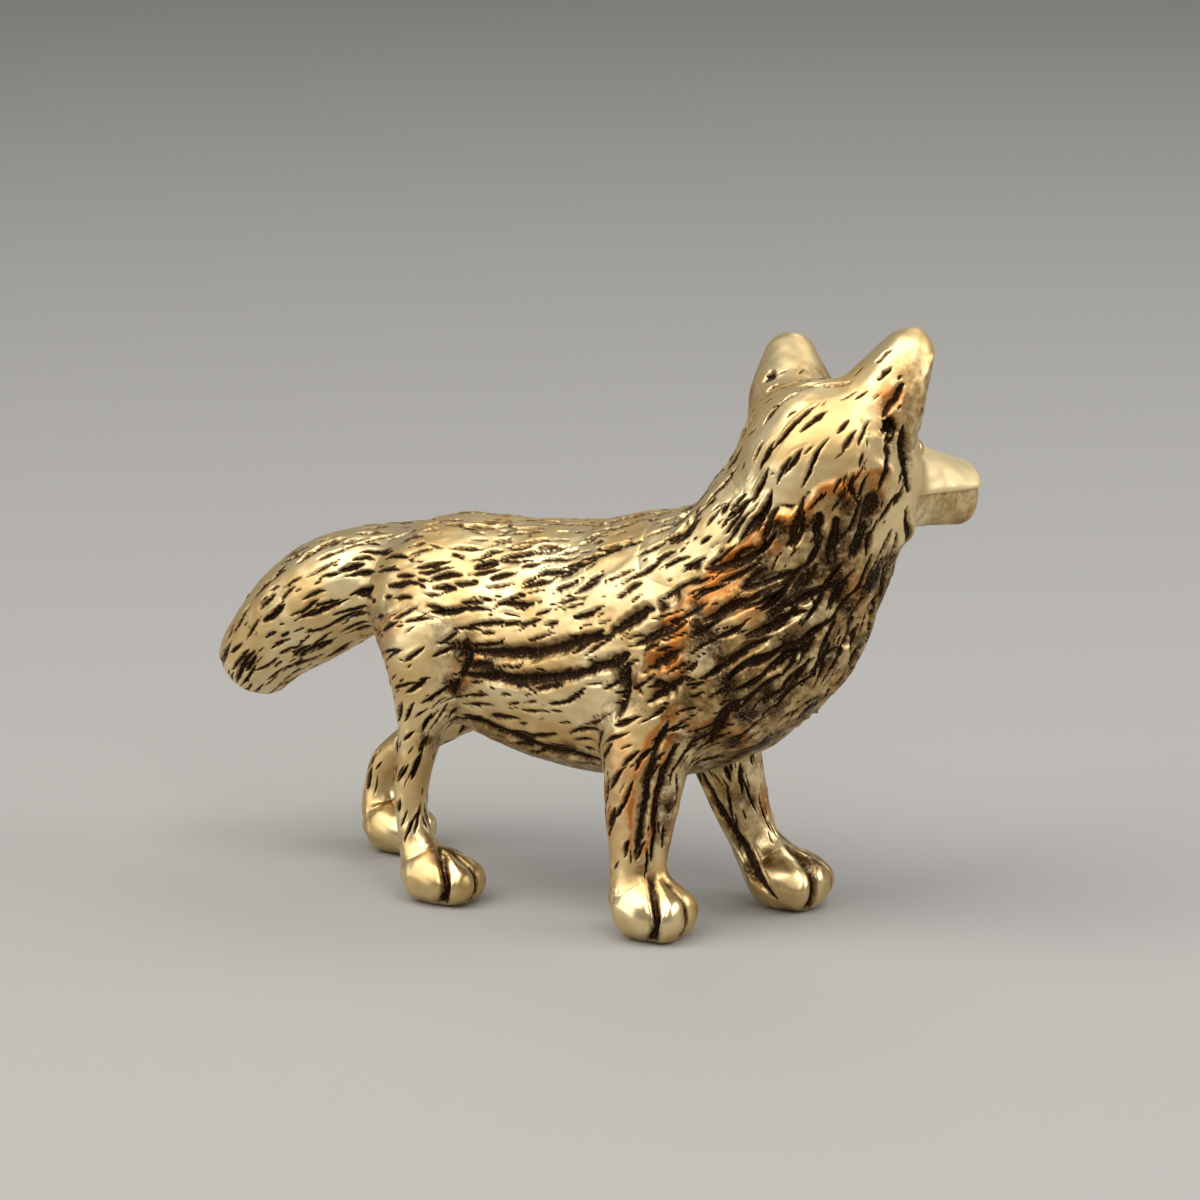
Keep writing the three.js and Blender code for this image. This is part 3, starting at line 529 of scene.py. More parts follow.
    def mark(self, rows: slice, share: Array, depth: Array, dark: bool = True, core: float = 1) -> None:
        """Deepens rows where share is above 0, to depth (1 - (1 - share)^2), and notes a dark core."""
        floor = np.where(share > 0, depth * (1 - (1 - share) ** 2), 0)
        sunk = self.carved if dark else self.hollow
        sunk[rows] = np.maximum(sunk[rows], floor)
        if dark:
            self.cut[rows] = np.maximum(self.cut[rows], np.clip(1 - (1 - share) / core, -1, 1))

    def follow(self, line: Array, faces: Array, groove: Groove) -> None:
        """Cuts a groove along a dense line of points, tapering to both ends.

        Args:
            line: Points on the pelt along the groove.
            faces: Normals there.
            groove: Sizes of the groove.
        """
        spans = [self.rows_near(p, 2 * groove.width) for p in line[::6]]
        spans = [span for span in spans if span.stop > span.start]
        if not spans:
            return
        rows = slice(min(span.start for span in spans), max(span.stop for span in spans))
        patch = self.points[rows]
        apart = np.stack([np.linalg.norm(patch - p, axis=-1) for p in line])
        nearest = apart.argmin(axis=0)
        taper = np.sin(math.pi * (np.arange(len(line)) + 0.5) / len(line)) ** 0.5
        front = ((self.normals[rows] * faces[nearest]).sum(axis=-1) > self.FACING) | self.hidden[rows]
        away = np.maximum(apart.min(axis=0) + self.warp_across[rows], 0)
        rho = away / (groove.width / 2 * taper[nearest])
        if groove.depth < 0:
            crest = np.where(front, -groove.depth * taper[nearest] ** 3 * bell(rho), 0)
            self.lift[rows] = np.maximum(self.lift[rows], crest)
            return
        self.mark(rows, np.where(front, 1 - rho, -1), groove.depth * taper[nearest], core=groove.core)
        beside = np.where(front, bell(rho - self.LIP_AT, self.RIM_WIDTH), 0)
        self.lift[rows] = np.maximum(self.lift[rows], groove.lip * beside)
        # Copper tint on the groove's lips, which also paints in an orange reflection.
        self.copper[rows] = np.maximum(self.copper[rows], groove.copper * beside)

    def smear(self, shaded_patch: ShadeAndPatinaSmudge) -> None:
        """Paints shade and patina round a point and round its mirror image, fading as exp(-(r / radius)^2).
        """
        x, y, z = np.moveaxis(self.points, -1, 0)
        off = np.linalg.norm(np.stack([x, -np.abs(y), z], axis=-1) - shaded_patch.at, axis=-1)
        self.paint_stain_and_shade(shaded_patch.strength * bell(off, shaded_patch.radius))

    @staticmethod
    def eased(values: Array) -> Array:
        """Values of a grid with each moved to the mean of the nine round it."""
        rows = np.pad(values, ((1, 1), (0, 0)), mode="edge")
        rows = (rows[:-2] + rows[1:-1] + rows[2:]) / 3
        return (np.roll(rows, 1, axis=1) + rows + np.roll(rows, -1, axis=1)) / 3

    def settle(self, origin: Array, lumps: float, fit: float) -> None:
        """Wears patina off the tops, moves points by lips, lumps and cuts, and stands them on the floor.

        Args:
            origin: The frame's origin, in mm from the rump.
            lumps: Height of the hand-worked lumps.
            fit: Scale about the origin, a hair under one.
        """
        self.cut = np.minimum(self.cut, 1 - self.WEAR * ramp(*self.LEVEL, self.normals[..., 2]))
        uneven = lumps * (waves(self.points, 2.4, 3) + 0.5 * waves(self.points, 0.9, 4) - 2)
        height = self.eased(self.lift) + uneven - self.hollow - self.carved
        self.points = self.points + self.normals * height[..., None]
        self.poles = self.poles + self.pole_faces * height[[0, -1]].mean(axis=1)[:, None]
        self.points[..., 2] = np.maximum(self.points[..., 2], 0)
        self.poles[:, 2] = np.maximum(self.poles[:, 2], 0)
        self.points = (self.points - origin) * MM * fit
        self.poles = (self.poles - origin) * MM * fit

    def piece(self, name: str) -> bpy.types.Object:
        """Writes the grid as a closed mesh of quads with a fan at each pole.

        Args:
            name: Name of the piece.

        Returns:
            The new object, linked to the scene.
        """
        rows, columns = self.cut.shape
        cell = np.arange(rows * columns).reshape(rows, columns)
        onward = np.roll(cell, -1, axis=1)
        quads = np.stack([cell[:-1], onward[:-1], onward[1:], cell[1:]], axis=-1).reshape(-1, 4)
        first, last = rows * columns, rows * columns + 1
        start_fan = np.stack([np.full(columns, first), onward[0], cell[0]], axis=-1)
        end_fan = np.stack([np.full(columns, last), cell[-1], onward[-1]], axis=-1)
        corners = np.concatenate([quads.ravel(), start_fan.ravel(), end_fan.ravel()])
        sizes = np.concatenate([np.full(len(quads), 4), np.full(2 * columns, 3)])
        vertices = np.vstack([self.points.reshape(-1, 3), self.poles])
        mesh = bpy.data.meshes.new(name)
        mesh.vertices.add(len(vertices))
        mesh.vertices.foreach_set("co", vertices.ravel())
        mesh.loops.add(len(corners))
        mesh.loops.foreach_set("vertex_index", corners)
        mesh.polygons.add(len(sizes))
        mesh.polygons.foreach_set("loop_start", np.concatenate([[0], np.cumsum(sizes)[:-1]]))
        mesh.update(calc_edges=True)
        mesh.shade_smooth()
        for label in ("cut", "copper", "matte"):
            values = getattr(self, label)
            ends = values[[0, -1]].mean(axis=1)
            attribute = mesh.attributes.new(label, "FLOAT", "POINT")
            attribute.data.foreach_set("value", np.concatenate([values.ravel(), ends]))
        made = bpy.data.objects.new(name, mesh)
        bpy.context.scene.collection.objects.link(made)
        return made


class Pelt:
    """All the skins of the fox together, so that strokes run on from one skin to the next."""

    FIRST_ROW = 5  # the first row of strokes lies a fifth of a pitch in
    JITTER_ROUND, JITTER_ALONG = 0.4, 0.5  # shares of a pitch by which strokes stray

    def __init__(self, skins: dict[str, Skin]) -> None:
        """Keeps the skins, and every other point of them that shows."""
        self.skins = skins
        every = slice(None, None, 2)
        shows = [~skin.hidden[every, every] for skin in skins.values()]
        grids = [(s.points[every, every], s.normals[every, every]) for s in skins.values()]
        self.points = np.concatenate([points[show] for (points, _), show in zip(grids, shows)])
        self.normals = np.concatenate([normals[show] for (_, normals), show in zip(grids, shows)])

    def groove(self, groove: Groove) -> None:
        """Cuts a groove, and its mirror image on the other side, on every skin that it reaches."""
        flips = ((1, 1, 1), (1, -1, 1)) if groove.mirrored else ((1, 1, 1),)
        for flip in flips:
            knots = np.array(groove.path, float) * flip
            fine = catmull_rom(knots, np.linspace(0, len(knots) - 1, 20 * len(knots)))
            nearest = np.argmin((self.points**2).sum(axis=1) - 2 * fine @ self.points.T, axis=1)
            line, faces = self.smoothed(self.points[nearest]), unit(self.smoothed(self.normals[nearest]))
            for skin in self.skins.values():
                skin.follow(line, faces, groove)

    @staticmethod
    def smoothed(line: Array) -> Array:
        """A line with each point moved to the mean of the nine round it."""
        padded = np.concatenate([np.repeat(line[:1], 4, axis=0), line, np.repeat(line[-1:], 4, axis=0)])
        return sum(padded[k : k + len(line)] for k in range(9)) / 9

    def comb(self, name: str, coat: Coat, flow: Flow, where: Mask, seed: int) -> None:
        """Cuts a coat of strokes in staggered, jittered rows that follow a flow.

        Args:
            name: The skin that the strokes start on.
            coat: Sizes and spacing of the strokes.
            flow: Gives the direction of the fur at an array of points.
            where: Tells at which points strokes may lie.
            seed: Seed of all the jitter.
        """
        skin = self.skins[name]
        rng = np.random.default_rng(seed)
        rows, columns = skin.cut.shape
        first = coat.pitch_along / self.FIRST_ROW
        for line, s in enumerate(np.arange(first, skin.form.length, coat.pitch_along)):
            half = skin.form.half_sizes(np.array([s]))[0]
            count = max(3, round(TAU * half.mean() / coat.pitch_round))
            stray = rng.uniform(-self.JITTER_ROUND, self.JITTER_ROUND, count)
            turns = (np.arange(count) + 0.5 * (line % 2) + stray) / count
            shifts = s + rng.uniform(-self.JITTER_ALONG, self.JITTER_ALONG, count) * coat.pitch_along
            row = np.abs(skin.s[:, None] - shifts).argmin(axis=0)
            column = np.round(turns * columns).astype(int) % columns
            points, normals = skin.points[row, column], skin.normals[row, column]
            draws = rng.uniform(0, 1, (count, 6))
            kept = where(points) & (draws[:, 0] > coat.skipped) & ~skin.hidden[row, column]
            swerve = np.tan(np.radians(coat.swerve) * (2 * draws[:, 1:2] - 1))
            flows = flow(points)
            turned = flows + np.cross(normals, flows) * swerve
            along = unit(turned - (turned * normals).sum(axis=1, keepdims=True) * normals)
            sizes = [
                span[0] + (span[1] - span[0]) * draws[:, k]
                for k, span in ((2, coat.length), (3, coat.width), (4, coat.depth))
            ]
            bends = coat.bend * (2 * draws[:, 5] - 1)
            for k in np.flatnonzero(kept):
                length, width, depth = (size[k] for size in sizes)
                stroke = Stroke(
                    points[k], normals[k], along[k], length, width, depth, coat.lip, bends[k], coat.dark
                )
                for other in self.skins.values():
                    other.engrave(stroke)


@dataclass(frozen=True)
class Rib:
    """One section of the barrel: its step from the one before, the back's height, its width and depth."""

    step: float
    top: float
    width: float
    depth: float


@dataclass(frozen=True)
class Furrow:
    """A long groove by its place on a form: distances along the spine and degrees round it."""

    start: float
    run: float
    turn: float
    climb: float
    width: float = 0.8
    depth: float = 0.34
    core: float = 0.6
    copper: float = 0
    lip: float = 0.02

    def groove(self, skin: Skin, mirrored: bool = True, flipped: bool = False) -> Groove:
        """The groove on a skin.

        Args:
            skin: The skin that it lies on.
            mirrored: Whether it is cut on the fox's other side too.
            flipped: Whether the angles run round the other way.

        Returns:
            The groove through five places on the skin.
        """
        turns = [self.turn - self.climb * k / 4 for k in range(5)]
        turns = [180 - turn for turn in turns] if flipped else turns
        path = [skin.at(self.start + self.run * k / 4, turn) for k, turn in enumerate(turns)]
        return Groove(tuple(path), self.width, self.depth, self.lip, mirrored, self.core, self.copper)


@dataclass
class Trunk:
    """Barrel of the body, the neck in its ruff, and the withers between them."""

    ribs: tuple[Rib, ...] = (
        Rib(0, 17.8, 6.4, 5.8),
        Rib(3.7, 18.75, 8.6, 9.45),
        Rib(4.5, 18.85, 9.2, 11.7),
        Rib(4.5, 19.1, 9.8, 12.6),
        Rib(4.5, 20, 10.4, 12.8),
        Rib(4.5, 19.4, 9.8, 9.8),
        Rib(1.8, 17.9, 5, 5.4),
    )
    rump_rounding: float = 2.2
    breast_rounding: float = 3
    foot_step: Point = (-0.5, 0, -4.8)
    foot_size: Span = (6.4, 5.6)
    foot_rounding: float = 2.5
    ruff_size: Span = (9.8, 9)
    throat_step: Point = (1.1, 0.3, 3.8)
    throat_size: Span = (9, 9)
    poll_step: Point = (2.8, 0.6, 8.6)
    poll_size: Span = (7.8, 8)
    poll_rounding: float = 2.6
    withers_steps: tuple[Point, ...] = ((-6.4, 0, 2.3), (-2.3, 0, 3.5), (0.9, 0.45, 7.5))
    withers_widths: Point = (7.6, 8.6, 7.4)
    withers_depth: float = 6
    withers_rounding: float = 2
    fur_from: float = 7.5
    rump_rise: float = 8
    shoulder_rise: float = 20
    shoulder_from: Span = (4, 17)
    belly_shares: Span = (0.55, 0.45)
    flank_from: Span = (8, 13)
    neck_rise: float = 34
    neck_from: Band = ((15, 20), (17, 22))
    breast_rise: float = 14
    breast_from: Span = (22, 26)
    lock_length: float = 3.2
    lock_width: float = 0.8
    lock_depth: float = 0.36
    lock_first_row: float = 3.2
    lock_row_pitch: float = 1.8
    lock_rows: int = 4
    locks_in_first_row: int = 6
    lock_turn: float = 26
    lock_lean: float = 42
    chest_turn: float = 270
    furrows: tuple[Furrow, ...] = (
        Furrow(7.1, 9, 184, 19, 1, core=0.8),
        Furrow(7.3, 8, 196, 15, 1, core=0.85),
        Furrow(7.4, 7, 223, -10, 1.1, core=1),
        Furrow(14.2, 3, 183, 7, 0.75, 0.3, core=0.85),
        Furrow(16.2, 2.6, 167, 12, 0.75, 0.3, core=0.85),
        Furrow(17.6, 2.8, 198, 11),
        Furrow(17.6, 2.8, 185, 11),
        Furrow(17.6, 2.8, 172, 11),
    )
    withers_locks: tuple[Furrow, ...] = (Furrow(3.2, 3, 142, 4), Furrow(3.2, 3, 117, 4))
    creases: tuple[Groove, ...] = (
        Groove(((7.4, -4.6, 13.6), (7.4, -4.6, 12.4), (6.4, -4.3, 10.4)), 0.6, 0.28, 0.02, True, 0.8, 0.6),
        Groove(((16.7, -5.2, 13.6), (16.6, -5.1, 12.2), (16, -5.2, 10.4)), 0.6, 0.28, 0.02, core=0.8),
        Groove(((20.2, -3.4, 9.5), (21.3, -4.2, 11.1), (22.4, -4.3, 12.3)), 0.8, 0.34, 0.02, core=0.9),
    )
    throat_grooves: tuple[Groove, ...] = (
        Groove(((24.8, -3.6, 21.1), (24.8, -3.6, 20.5), (24.6, -3.8, 19.8)), 0.8, 0.32, 0.03, False, 0.85),
        Groove(((25.9, -3.2, 21.6), (25.8, -3.2, 20.9), (25.7, -3.2, 20)), 0.8, 0.32, 0.03, False, 0.85),
        Groove(((26.6, -2.9, 21.4), (26.5, -2.8, 20.4), (26.3, -2.8, 19.5)), 0.8, 0.32, 0.03, False, 0.85),
        Groove(((27.5, -1.9, 21), (27.3, -1.8, 20.3), (26.9, -1.9, 19.1)), 0.9, 0.34, 0.03, False, 0.9),
        Groove(((26.6, -2, 18.2), (26.4, -2.25, 17.5), (26.1, -2.6, 16.7)), 0.8, 0.32, 0.03, False, 0.85),
    )
    # Soft patches of painted shade and patina in the creases round the legs and under the belly.
    shade_and_patina_smudges: tuple[ShadeAndPatinaSmudge, ...] = (
        ShadeAndPatinaSmudge((7.2, -4.6, 13), 1.2),
        ShadeAndPatinaSmudge((6.5, -4.4, 11), 1.1),
        ShadeAndPatinaSmudge((8.6, -4.5, 12.2), 1.1),
        ShadeAndPatinaSmudge((16.5, -5.2, 12.9), 1.1),
        ShadeAndPatinaSmudge((22.4, -3.8, 11.4), 1.5),
        ShadeAndPatinaSmudge((23.6, -3.7, 12.5), 1.1),
        ShadeAndPatinaSmudge((21.3, -2.9, 9.7), 1.1),
        ShadeAndPatinaSmudge((10.3, -3.3, 8.2), 0.9),
        ShadeAndPatinaSmudge((12.6, -3.4, 8.2), 0.9),
    )
    edge_foot: Span = (17.7, 12.2)
    edge_bend: float = 17.6
    edge_slopes: Span = (0.31, 0.94)
    edge_height: float = 0.2
    edge_rise: Span = (-0.3, 0.5)
    edge_reach: Band = ((11.3, 12.8), (21.5, 23.5))
    edge_line: Span = (-0.3, 0.3)
    edge_line_depth: float = 0.2
    rope_at: float = 0.7
    rope_width: float = 0.6
    rope_height: float = 0.1
    rope_reach: Band = ((12, 14), (23, 24))
    shade_rise: Span = (-0.3, 1.2)
    shade_end: Span = (24, 26)
    shade_depths: Point = (1.04, 0.16, 0.2)
    under_cheek_shade: Band = ((16.5, 19), (22, 23.5))
    chest_hollow: float = 0.3
    chest_rise: Span = (22, 24.5)
    chest_reach: Band = ((8.5, 10.5), (15, 18))
    belly_facing: Span = (0.35, 0.8)
    belly_end: Span = (9, 12)
    belly_shade: float = 0.95
    barrel: Form = field(init=False)
    ruff: Form = field(init=False)
    withers: Form = field(init=False)

    def __post_init__(self) -> None:
        """Works out the three forms."""
        ribs = [self.rib(k) for k in range(len(self.ribs))]
        self.barrel = Form(ribs, start_cap=self.rump_rounding, end_cap=self.breast_rounding)
        brisket = np.array(ribs[5].middle)
        neck = (
            (self.foot_step, self.foot_size),
            ((0, 0, 0), self.ruff_size),
            (self.throat_step, self.throat_size),
            (self.poll_step, self.poll_size),
        )
        self.ruff = Form(
            [Section(tuple(brisket + step), *size) for step, size in neck],
            start_cap=self.foot_rounding,
            end_cap=self.poll_rounding,
        )
        bend = zip(self.withers_steps, self.withers_widths)
        self.withers = Form(
            [Section(tuple(brisket + step), width, self.withers_depth) for step, width in bend],
            start_cap=self.withers_rounding,
            end_cap=self.withers_rounding,
        )

    def rib(self, number: int) -> Section:
        """The barrel's section of that number, hung from the line of the back."""
        rib = self.ribs[number]
        x = sum(r.step for r in self.ribs[: number + 1])
        return Section((x, 0, rib.top - rib.depth / 2), rib.width, rib.depth)

    @property
    def poll(self) -> Array:
        """Middle of the head, on top of the neck."""
        return np.array(self.rib(5).middle) + self.poll_step

    def beyond_edge(self, points: Array) -> Array:
        """Distance of points in front of the ruff's ragged edge, steep on the shoulder and sloped above."""
        x, z = points[..., 0], points[..., 2]
        edge = self.edge_foot[0] + self.edge_slopes[0] * (z - self.edge_foot[1])
        edge = edge + self.edge_slopes[1] * np.logaddexp(0, 2 * (z - self.edge_bend)) / 2
        return 0.8 * (x - edge) + 0.3 * waves(points, 2, 61)

    def flow(self, points: Array) -> Array:
        """Fur of the trunk: nearly level at the rump, rising towards the shoulder, steep up the neck."""
        x, z = points[..., 0], points[..., 2]
        low, more = self.belly_shares
        flank = self.rump_rise + self.shoulder_rise * ramp(*self.shoulder_from, x)
        flank = flank * (low + more * ramp(*self.flank_from, z))
        ahead, above = self.neck_from
        neck = self.neck_rise * ramp(*above, z) * ramp(*ahead, x)
        return rising(flank + neck + self.breast_rise * ramp(*self.breast_from, x))

    def locks(self, skin: Skin) -> list[Groove]:
        """Locks of the ruff: in each row, each rises towards the chest, steeper the nearer it lies to it."""
        lean = math.radians(self.lock_lean)
        rise = self.lock_length * math.sin(lean)
        sweep = math.degrees(self.lock_length * math.cos(lean) / (self.ruff_size[0] / 2))
        made = []
        for row in range(self.lock_rows):
            count = self.locks_in_first_row + row
            s = self.lock_first_row + row * self.lock_row_pitch
            for aside in (np.arange(count) - (count - 1) / 2) * self.lock_turn:
                turn = -np.clip(aside / (2 * self.lock_turn), -1, 1) * sweep
                path = [skin.at(s + k * rise, self.chest_turn + aside + k * turn) for k in (-0.5, 0, 0.5)]
                made.append(Groove(tuple(path), self.lock_width, self.lock_depth, 0.06, mirrored=False))
        return made

    def carve(self, pelt: Pelt) -> None:
        """Cuts the coat of the trunk, the locks of the ruff and the long grooves of both flanks, and paints
        shade and patina in its creases and under the belly.
        """
        swells = replace(SWELLS, pitch_along=3, length=(2, 4.5))
        slashes = replace(SLASHES, pitch_round=1.7, length=(1.3, 3), width=(0.3, 0.52))
        coat = Coat(1.6, 0.66, (0.7, 2.4), (0.14, 0.3), (0.1, 0.18), lip=0.05, skipped=0.12)
        ticks = replace(TICKS, pitch_round=0.6)
        mane = Coat(1.6, 0.8, (1.2, 2.8), (0.26, 0.5), (0.18, 0.3), lip=0.09, skipped=0.06, bend=0.1)
        layers = {
            "barrel": (swells, slashes, coat, ticks),
            "withers": (slashes, coat, ticks),
            "ruff": (swells, mane, ticks),
        }
        for order, (name, coats) in enumerate(layers.items()):
            for number, layer in enumerate(coats):
                seed = 11 + 10 * order + number
                pelt.comb(name, layer, self.flow, lambda p: p[..., 2] > self.fur_from, seed)
        cuts = [*self.locks(pelt.skins["ruff"]), *self.creases, *self.throat_grooves]
        cuts += [furrow.groove(pelt.skins["barrel"]) for furrow in self.furrows]
        cuts += [lock.groove(pelt.skins["withers"]) for lock in self.withers_locks]
        for groove in cuts:
            pelt.groove(groove)
        for name in ("barrel", "ruff"):
            self.draw_in(pelt.skins[name])
        # Painted shade and patina in the creases.
        for skin in pelt.skins.values():
            for shaded_patch in self.shade_and_patina_smudges:
                skin.smear(shaded_patch)

    def raise_edge(self, skin: Skin, share: Array) -> None:
        """Lifts the ruff along its edge, with a broken dark line behind it and a copper rope before it, which
        also paints in an orange reflection, and paints shade over the ruff in front of the edge.

        Args:
            skin: The skin that is lifted and coloured.
            share: How much of this reaches each point.
        """
        z = skin.points[..., 2]
        ahead = self.beyond_edge(skin.points)
        reach = band(*self.edge_reach, z) * share
        skin.lift += self.edge_height * ramp(*self.edge_rise, ahead) * reach
        broken = 0.6 * waves(skin.points, 2.6, 62)
        middle, half = self.edge_line
        line = np.where(reach > 0.5, 0.75 - np.abs(ahead - middle) / half - np.abs(broken), -1)
        skin.mark(slice(None), line, np.full_like(z, self.edge_line_depth))
        # Copper rope and copper patches in front of the edge, which also paint in an orange reflection.
        rope = bell(ahead - self.rope_at, self.rope_width) * band(*self.rope_reach, z) * share
        skin.lift += self.rope_height * rope
        skin.copper += rope
        skin.copper += 0.45 * ramp(0.6, 1.6, waves(skin.points, 3.2, 29)) * ramp(0, 1, ahead) * share
        # Painted shade over the ruff and neck in front of the edge, deeper under the cheek.
        shade = ramp(*self.shade_rise, ahead) * (1 - ramp(*self.shade_end, z)) * share
        depth, deeper, uneven = self.shade_depths
        depth = depth + deeper * band(*self.under_cheek_shade, z) + uneven * waves(skin.points, 2, 63)
        skin.paint_stain_and_shade(depth * shade)

    def draw_in(self, skin: Skin) -> None:
        """Draws the lower chest in a little and paints shade on the belly's downward faces."""
        x, _, z = np.moveaxis(skin.points, -1, 0)
        skin.hollow += self.chest_hollow * ramp(*self.chest_rise, x) * band(*self.chest_reach, z)
        # Painted shade on the downward-facing belly.
        below = ramp(*self.belly_facing, -skin.normals[..., 2]) * (1 - ramp(*self.belly_end, z))
        skin.paint_stain_and_shade(self.belly_shade * below)


@dataclass
class Head:
    """Skull with its muzzle, two ears and two eyes, turned to the fox's left."""

    poll: Array
    yaw: float = 72
    pitch: float = -10
    roll: float = -9
    occiput_behind_poll: float = 4.4
    rows: tuple[tuple[float, float, float, float], ...] = (
        (0, 0, 6.8, 6.4),
        (2.9, 0, 8.4, 7.8),
        (3, 0.55, 8.3, 7.9),
        (2.4, 0.9, 4.7, 4.9),
        (1.9, 0.9, 3.8, 3.9),
        (3.8, 1.1, 2.7, 2.8),
    )
    occiput_rounding: float = 3
    nose_rounding: float = 0.8
    ear_root: Point = (-0.4, 2.2, 0.6)
    ear_tip: Point = (1.3, 4.4, 6.25)
    ear_size: Span = (4.3, 3.4)
    ear_tip_size: Span = (1.9, 1.6)
    ear_rounding: float = 0.9
    eye_diameter: float = 1.1
    eye_at: Point = (3.3, 2.15, 0.7)
    fur_rises: Span = (52, 10)
    steep_from: Span = (21, 26)
    face_from: Band = ((-0.9, 0.1), (18.8, 20.3))
    crown_end: float = 0.6
    ear_fur_end: float = 4.4
    mouth_at: Span = (3, -1.55)
    mouth_slope: float = 0.11
    mouth_corner: float = 0.8
    ledge_size: Span = (0.7, 0.2)
    lip_above: float = 0.15
    lip_size: Span = (0.3, 0.08)
    jaw_shade: Span = (1.05, 0.72)
    muzzle_from: Span = (3.6, 4.8)
    lip_end: Span = (8.5, 9.3)
    socket_size: Span = (0.9, 0.3)
    nostril_at: Point = (9.6, 0.5, -0.6)
    nostril_size: Span = (0.32, 0.14)
    brow_step: Span = (0.1, 0.9)
    brow_size: Span = (0.4, 0.2)
    cheek_at: Point = (-1.05, 3.7, -2.1)
    cheek_squash: float = 0.7
    cheek_size: Span = (0.75, 0.3)
    cheek_shade: Span = (0.95, 1.75)
    tuft_at: Point = (2, 2.9, -3.1)
    tuft_size: Span = (1, 0.6)
    nose_at: Point = (9.4, 0, -0.4)
    nose_size: Span = (0.75, 0.1)
    ear_hollow_turn: float = 34
    ear_hollow_sway: float = 4
    ear_hollow_size: Span = (2, 0.95)
    ear_soot: float = 0.85
    ear_brown: Band = ((-1.4, -0.2), (4.2, 5.6))
    ear_copper_at: Point = (-1, 4.6, 2.9)
    ear_copper_radius: float = 0.9
    face_cuts: tuple[Groove, ...] = (
        Groove(((-0.1, -5, 1.7), (1.1, -4.3, 0), (2.4, -3.4, -1.6)), 0.7, -0.22),
        Groove(((-0.5, -4.8, 1.2), (0, -4.5, -0.2), (0.7, -4.1, -1.6)), 0.5, -0.16),
        Groove(((-1.9, -4.1, 0.1), (-0.5, -4.3, -0.6), (0.7, -4.1, -1.6)), 0.6, -0.16),
        Groove(
            ((-0.3, -5, 1.7), (0, -4.7, 0.6), (0.5, -4.4, -0.3), (1.2, -4.05, -1.6)),
            width=0.8,
            depth=0.32,
            lip=0.03,
            core=0.85,
        ),
        Groove(((-1.25, -4.6, 1.75), (-0.95, -4.7, 1.55), (-0.7, -4.7, 1.3)), 0.9, 0.5, 0.03, core=1),
        Groove(((-0.95, -4.6, 1.3), (-0.85, -4.5, 0.7), (-0.85, -4.45, 0.1)), 0.5, 0.28, 0.03, core=0.5),
        Groove(((-2.1, -3.6, -0.6), (-2.2, -3.5, -1.3), (-1.7, -3.5, -2.1)), 0.5, 0.24, 0.03, core=0.8),
        Groove(((1.3, -3.7, -2), (1.5, -3.4, -2.7), (2.1, -2.3, -3.9)), 0.45, 0.24, 0.03, core=0.8),
    )
    ear_stripe: Groove = Groove(
        ((-1.3, -4.45, 2), (-0.9, -4.8, 2.75), (-0.4, -5.05, 3.6)), 0.6, 0.2, 0.02, core=0.7
    )
    right_nicks: tuple[Groove, ...] = (
        Groove(((-0.8, -3.6, 4.5), (-0.35, -4.1, 5.2)), 0.24, 0.14, 0.02, core=0.7),
        Groove(((-1.05, -4, 3.7), (-0.6, -4.5, 4.4)), 0.24, 0.14, 0.02, core=0.7),
    )
    left_nicks: tuple[Groove, ...] = (
        Groove(((-1.3, -3, 3.8), (-1.15, -3.3, 4.1)), 0.8, 0.36, 0.02, core=0.9),
        Groove(((-1.75, -2.2, 3.3), (-1.6, -2.6, 3.6)), 0.8, 0.36, 0.02, core=0.9),
    )
    skull: Form = field(init=False)
    ears: dict[Side, Form] = field(init=False)
    eyes: dict[Side, Form] = field(init=False)

    def __post_init__(self) -> None:
        """Works out the head's axes and its forms."""
        self.axes = turning(2, self.yaw) @ turning(1, -self.pitch) @ turning(0, self.roll)
        left = self.axes[:, 1]
        forward = np.cumsum([row[0] for row in self.rows]) - self.occiput_behind_poll
        sections = [
            Section(self.at(f, 0, -drop), width, height)
            for f, (_, drop, width, height) in zip(forward, self.rows)
        ]
        self.skull = Form(sections, left, self.occiput_rounding, self.nose_rounding)
        self.ears = {side: self.ear(side, left) for side in Side}
        self.eyes = {side: self.eye(side, left) for side in Side}

    def at(self, forward: float, left: float, up: float) -> Point:
        """Point of the head in mm from the rump, from its own forward, left and up."""
        return tuple(self.poll + self.axes @ np.array([forward, left, up]))

    def own(self, points: Array) -> Array:
        """Points in the head's own forward, left and up."""
        return (points - self.poll) @ self.axes

    def ear(self, side: Side, left: Array) -> Form:
        """Cone of one ear, from inside the skull to its tip."""
        flip = np.array([1, side.value, 1])
        root, tip = np.array(self.ear_root) * flip, np.array(self.ear_tip) * flip
        stations = ((root, self.ear_size), ((root + tip) / 2, self.ear_size), (tip, self.ear_tip_size))
        sections = [Section(self.at(*place), *size) for place, size in stations]
        return Form(sections, left, self.ear_rounding, self.ear_rounding)

    def eye(self, side: Side, left: Array) -> Form:
        """Ball of one eye: a spine of one diameter, rounded off over half of it at both ends."""
        forward, out, up = self.eye_at
        radius = self.eye_diameter / 2
        ends = [self.at(forward + step, side.value * out, up) for step in (-radius, radius)]
        sections = [Section(end, self.eye_diameter, self.eye_diameter) for end in ends]
        return Form(sections, left, radius, radius)

    def away(self, skin: Skin, place: Point, squash: float = 1) -> Array:
        """Distance of a skin's points from a place on either half of the head, with heights squashed."""
        forward, left, up = np.moveaxis(self.own(skin.points), -1, 0)
        ahead, out, rise = forward - place[0], np.abs(left) - place[1], squash * (up - place[2])
        return np.sqrt(ahead**2 + out**2 + rise**2)

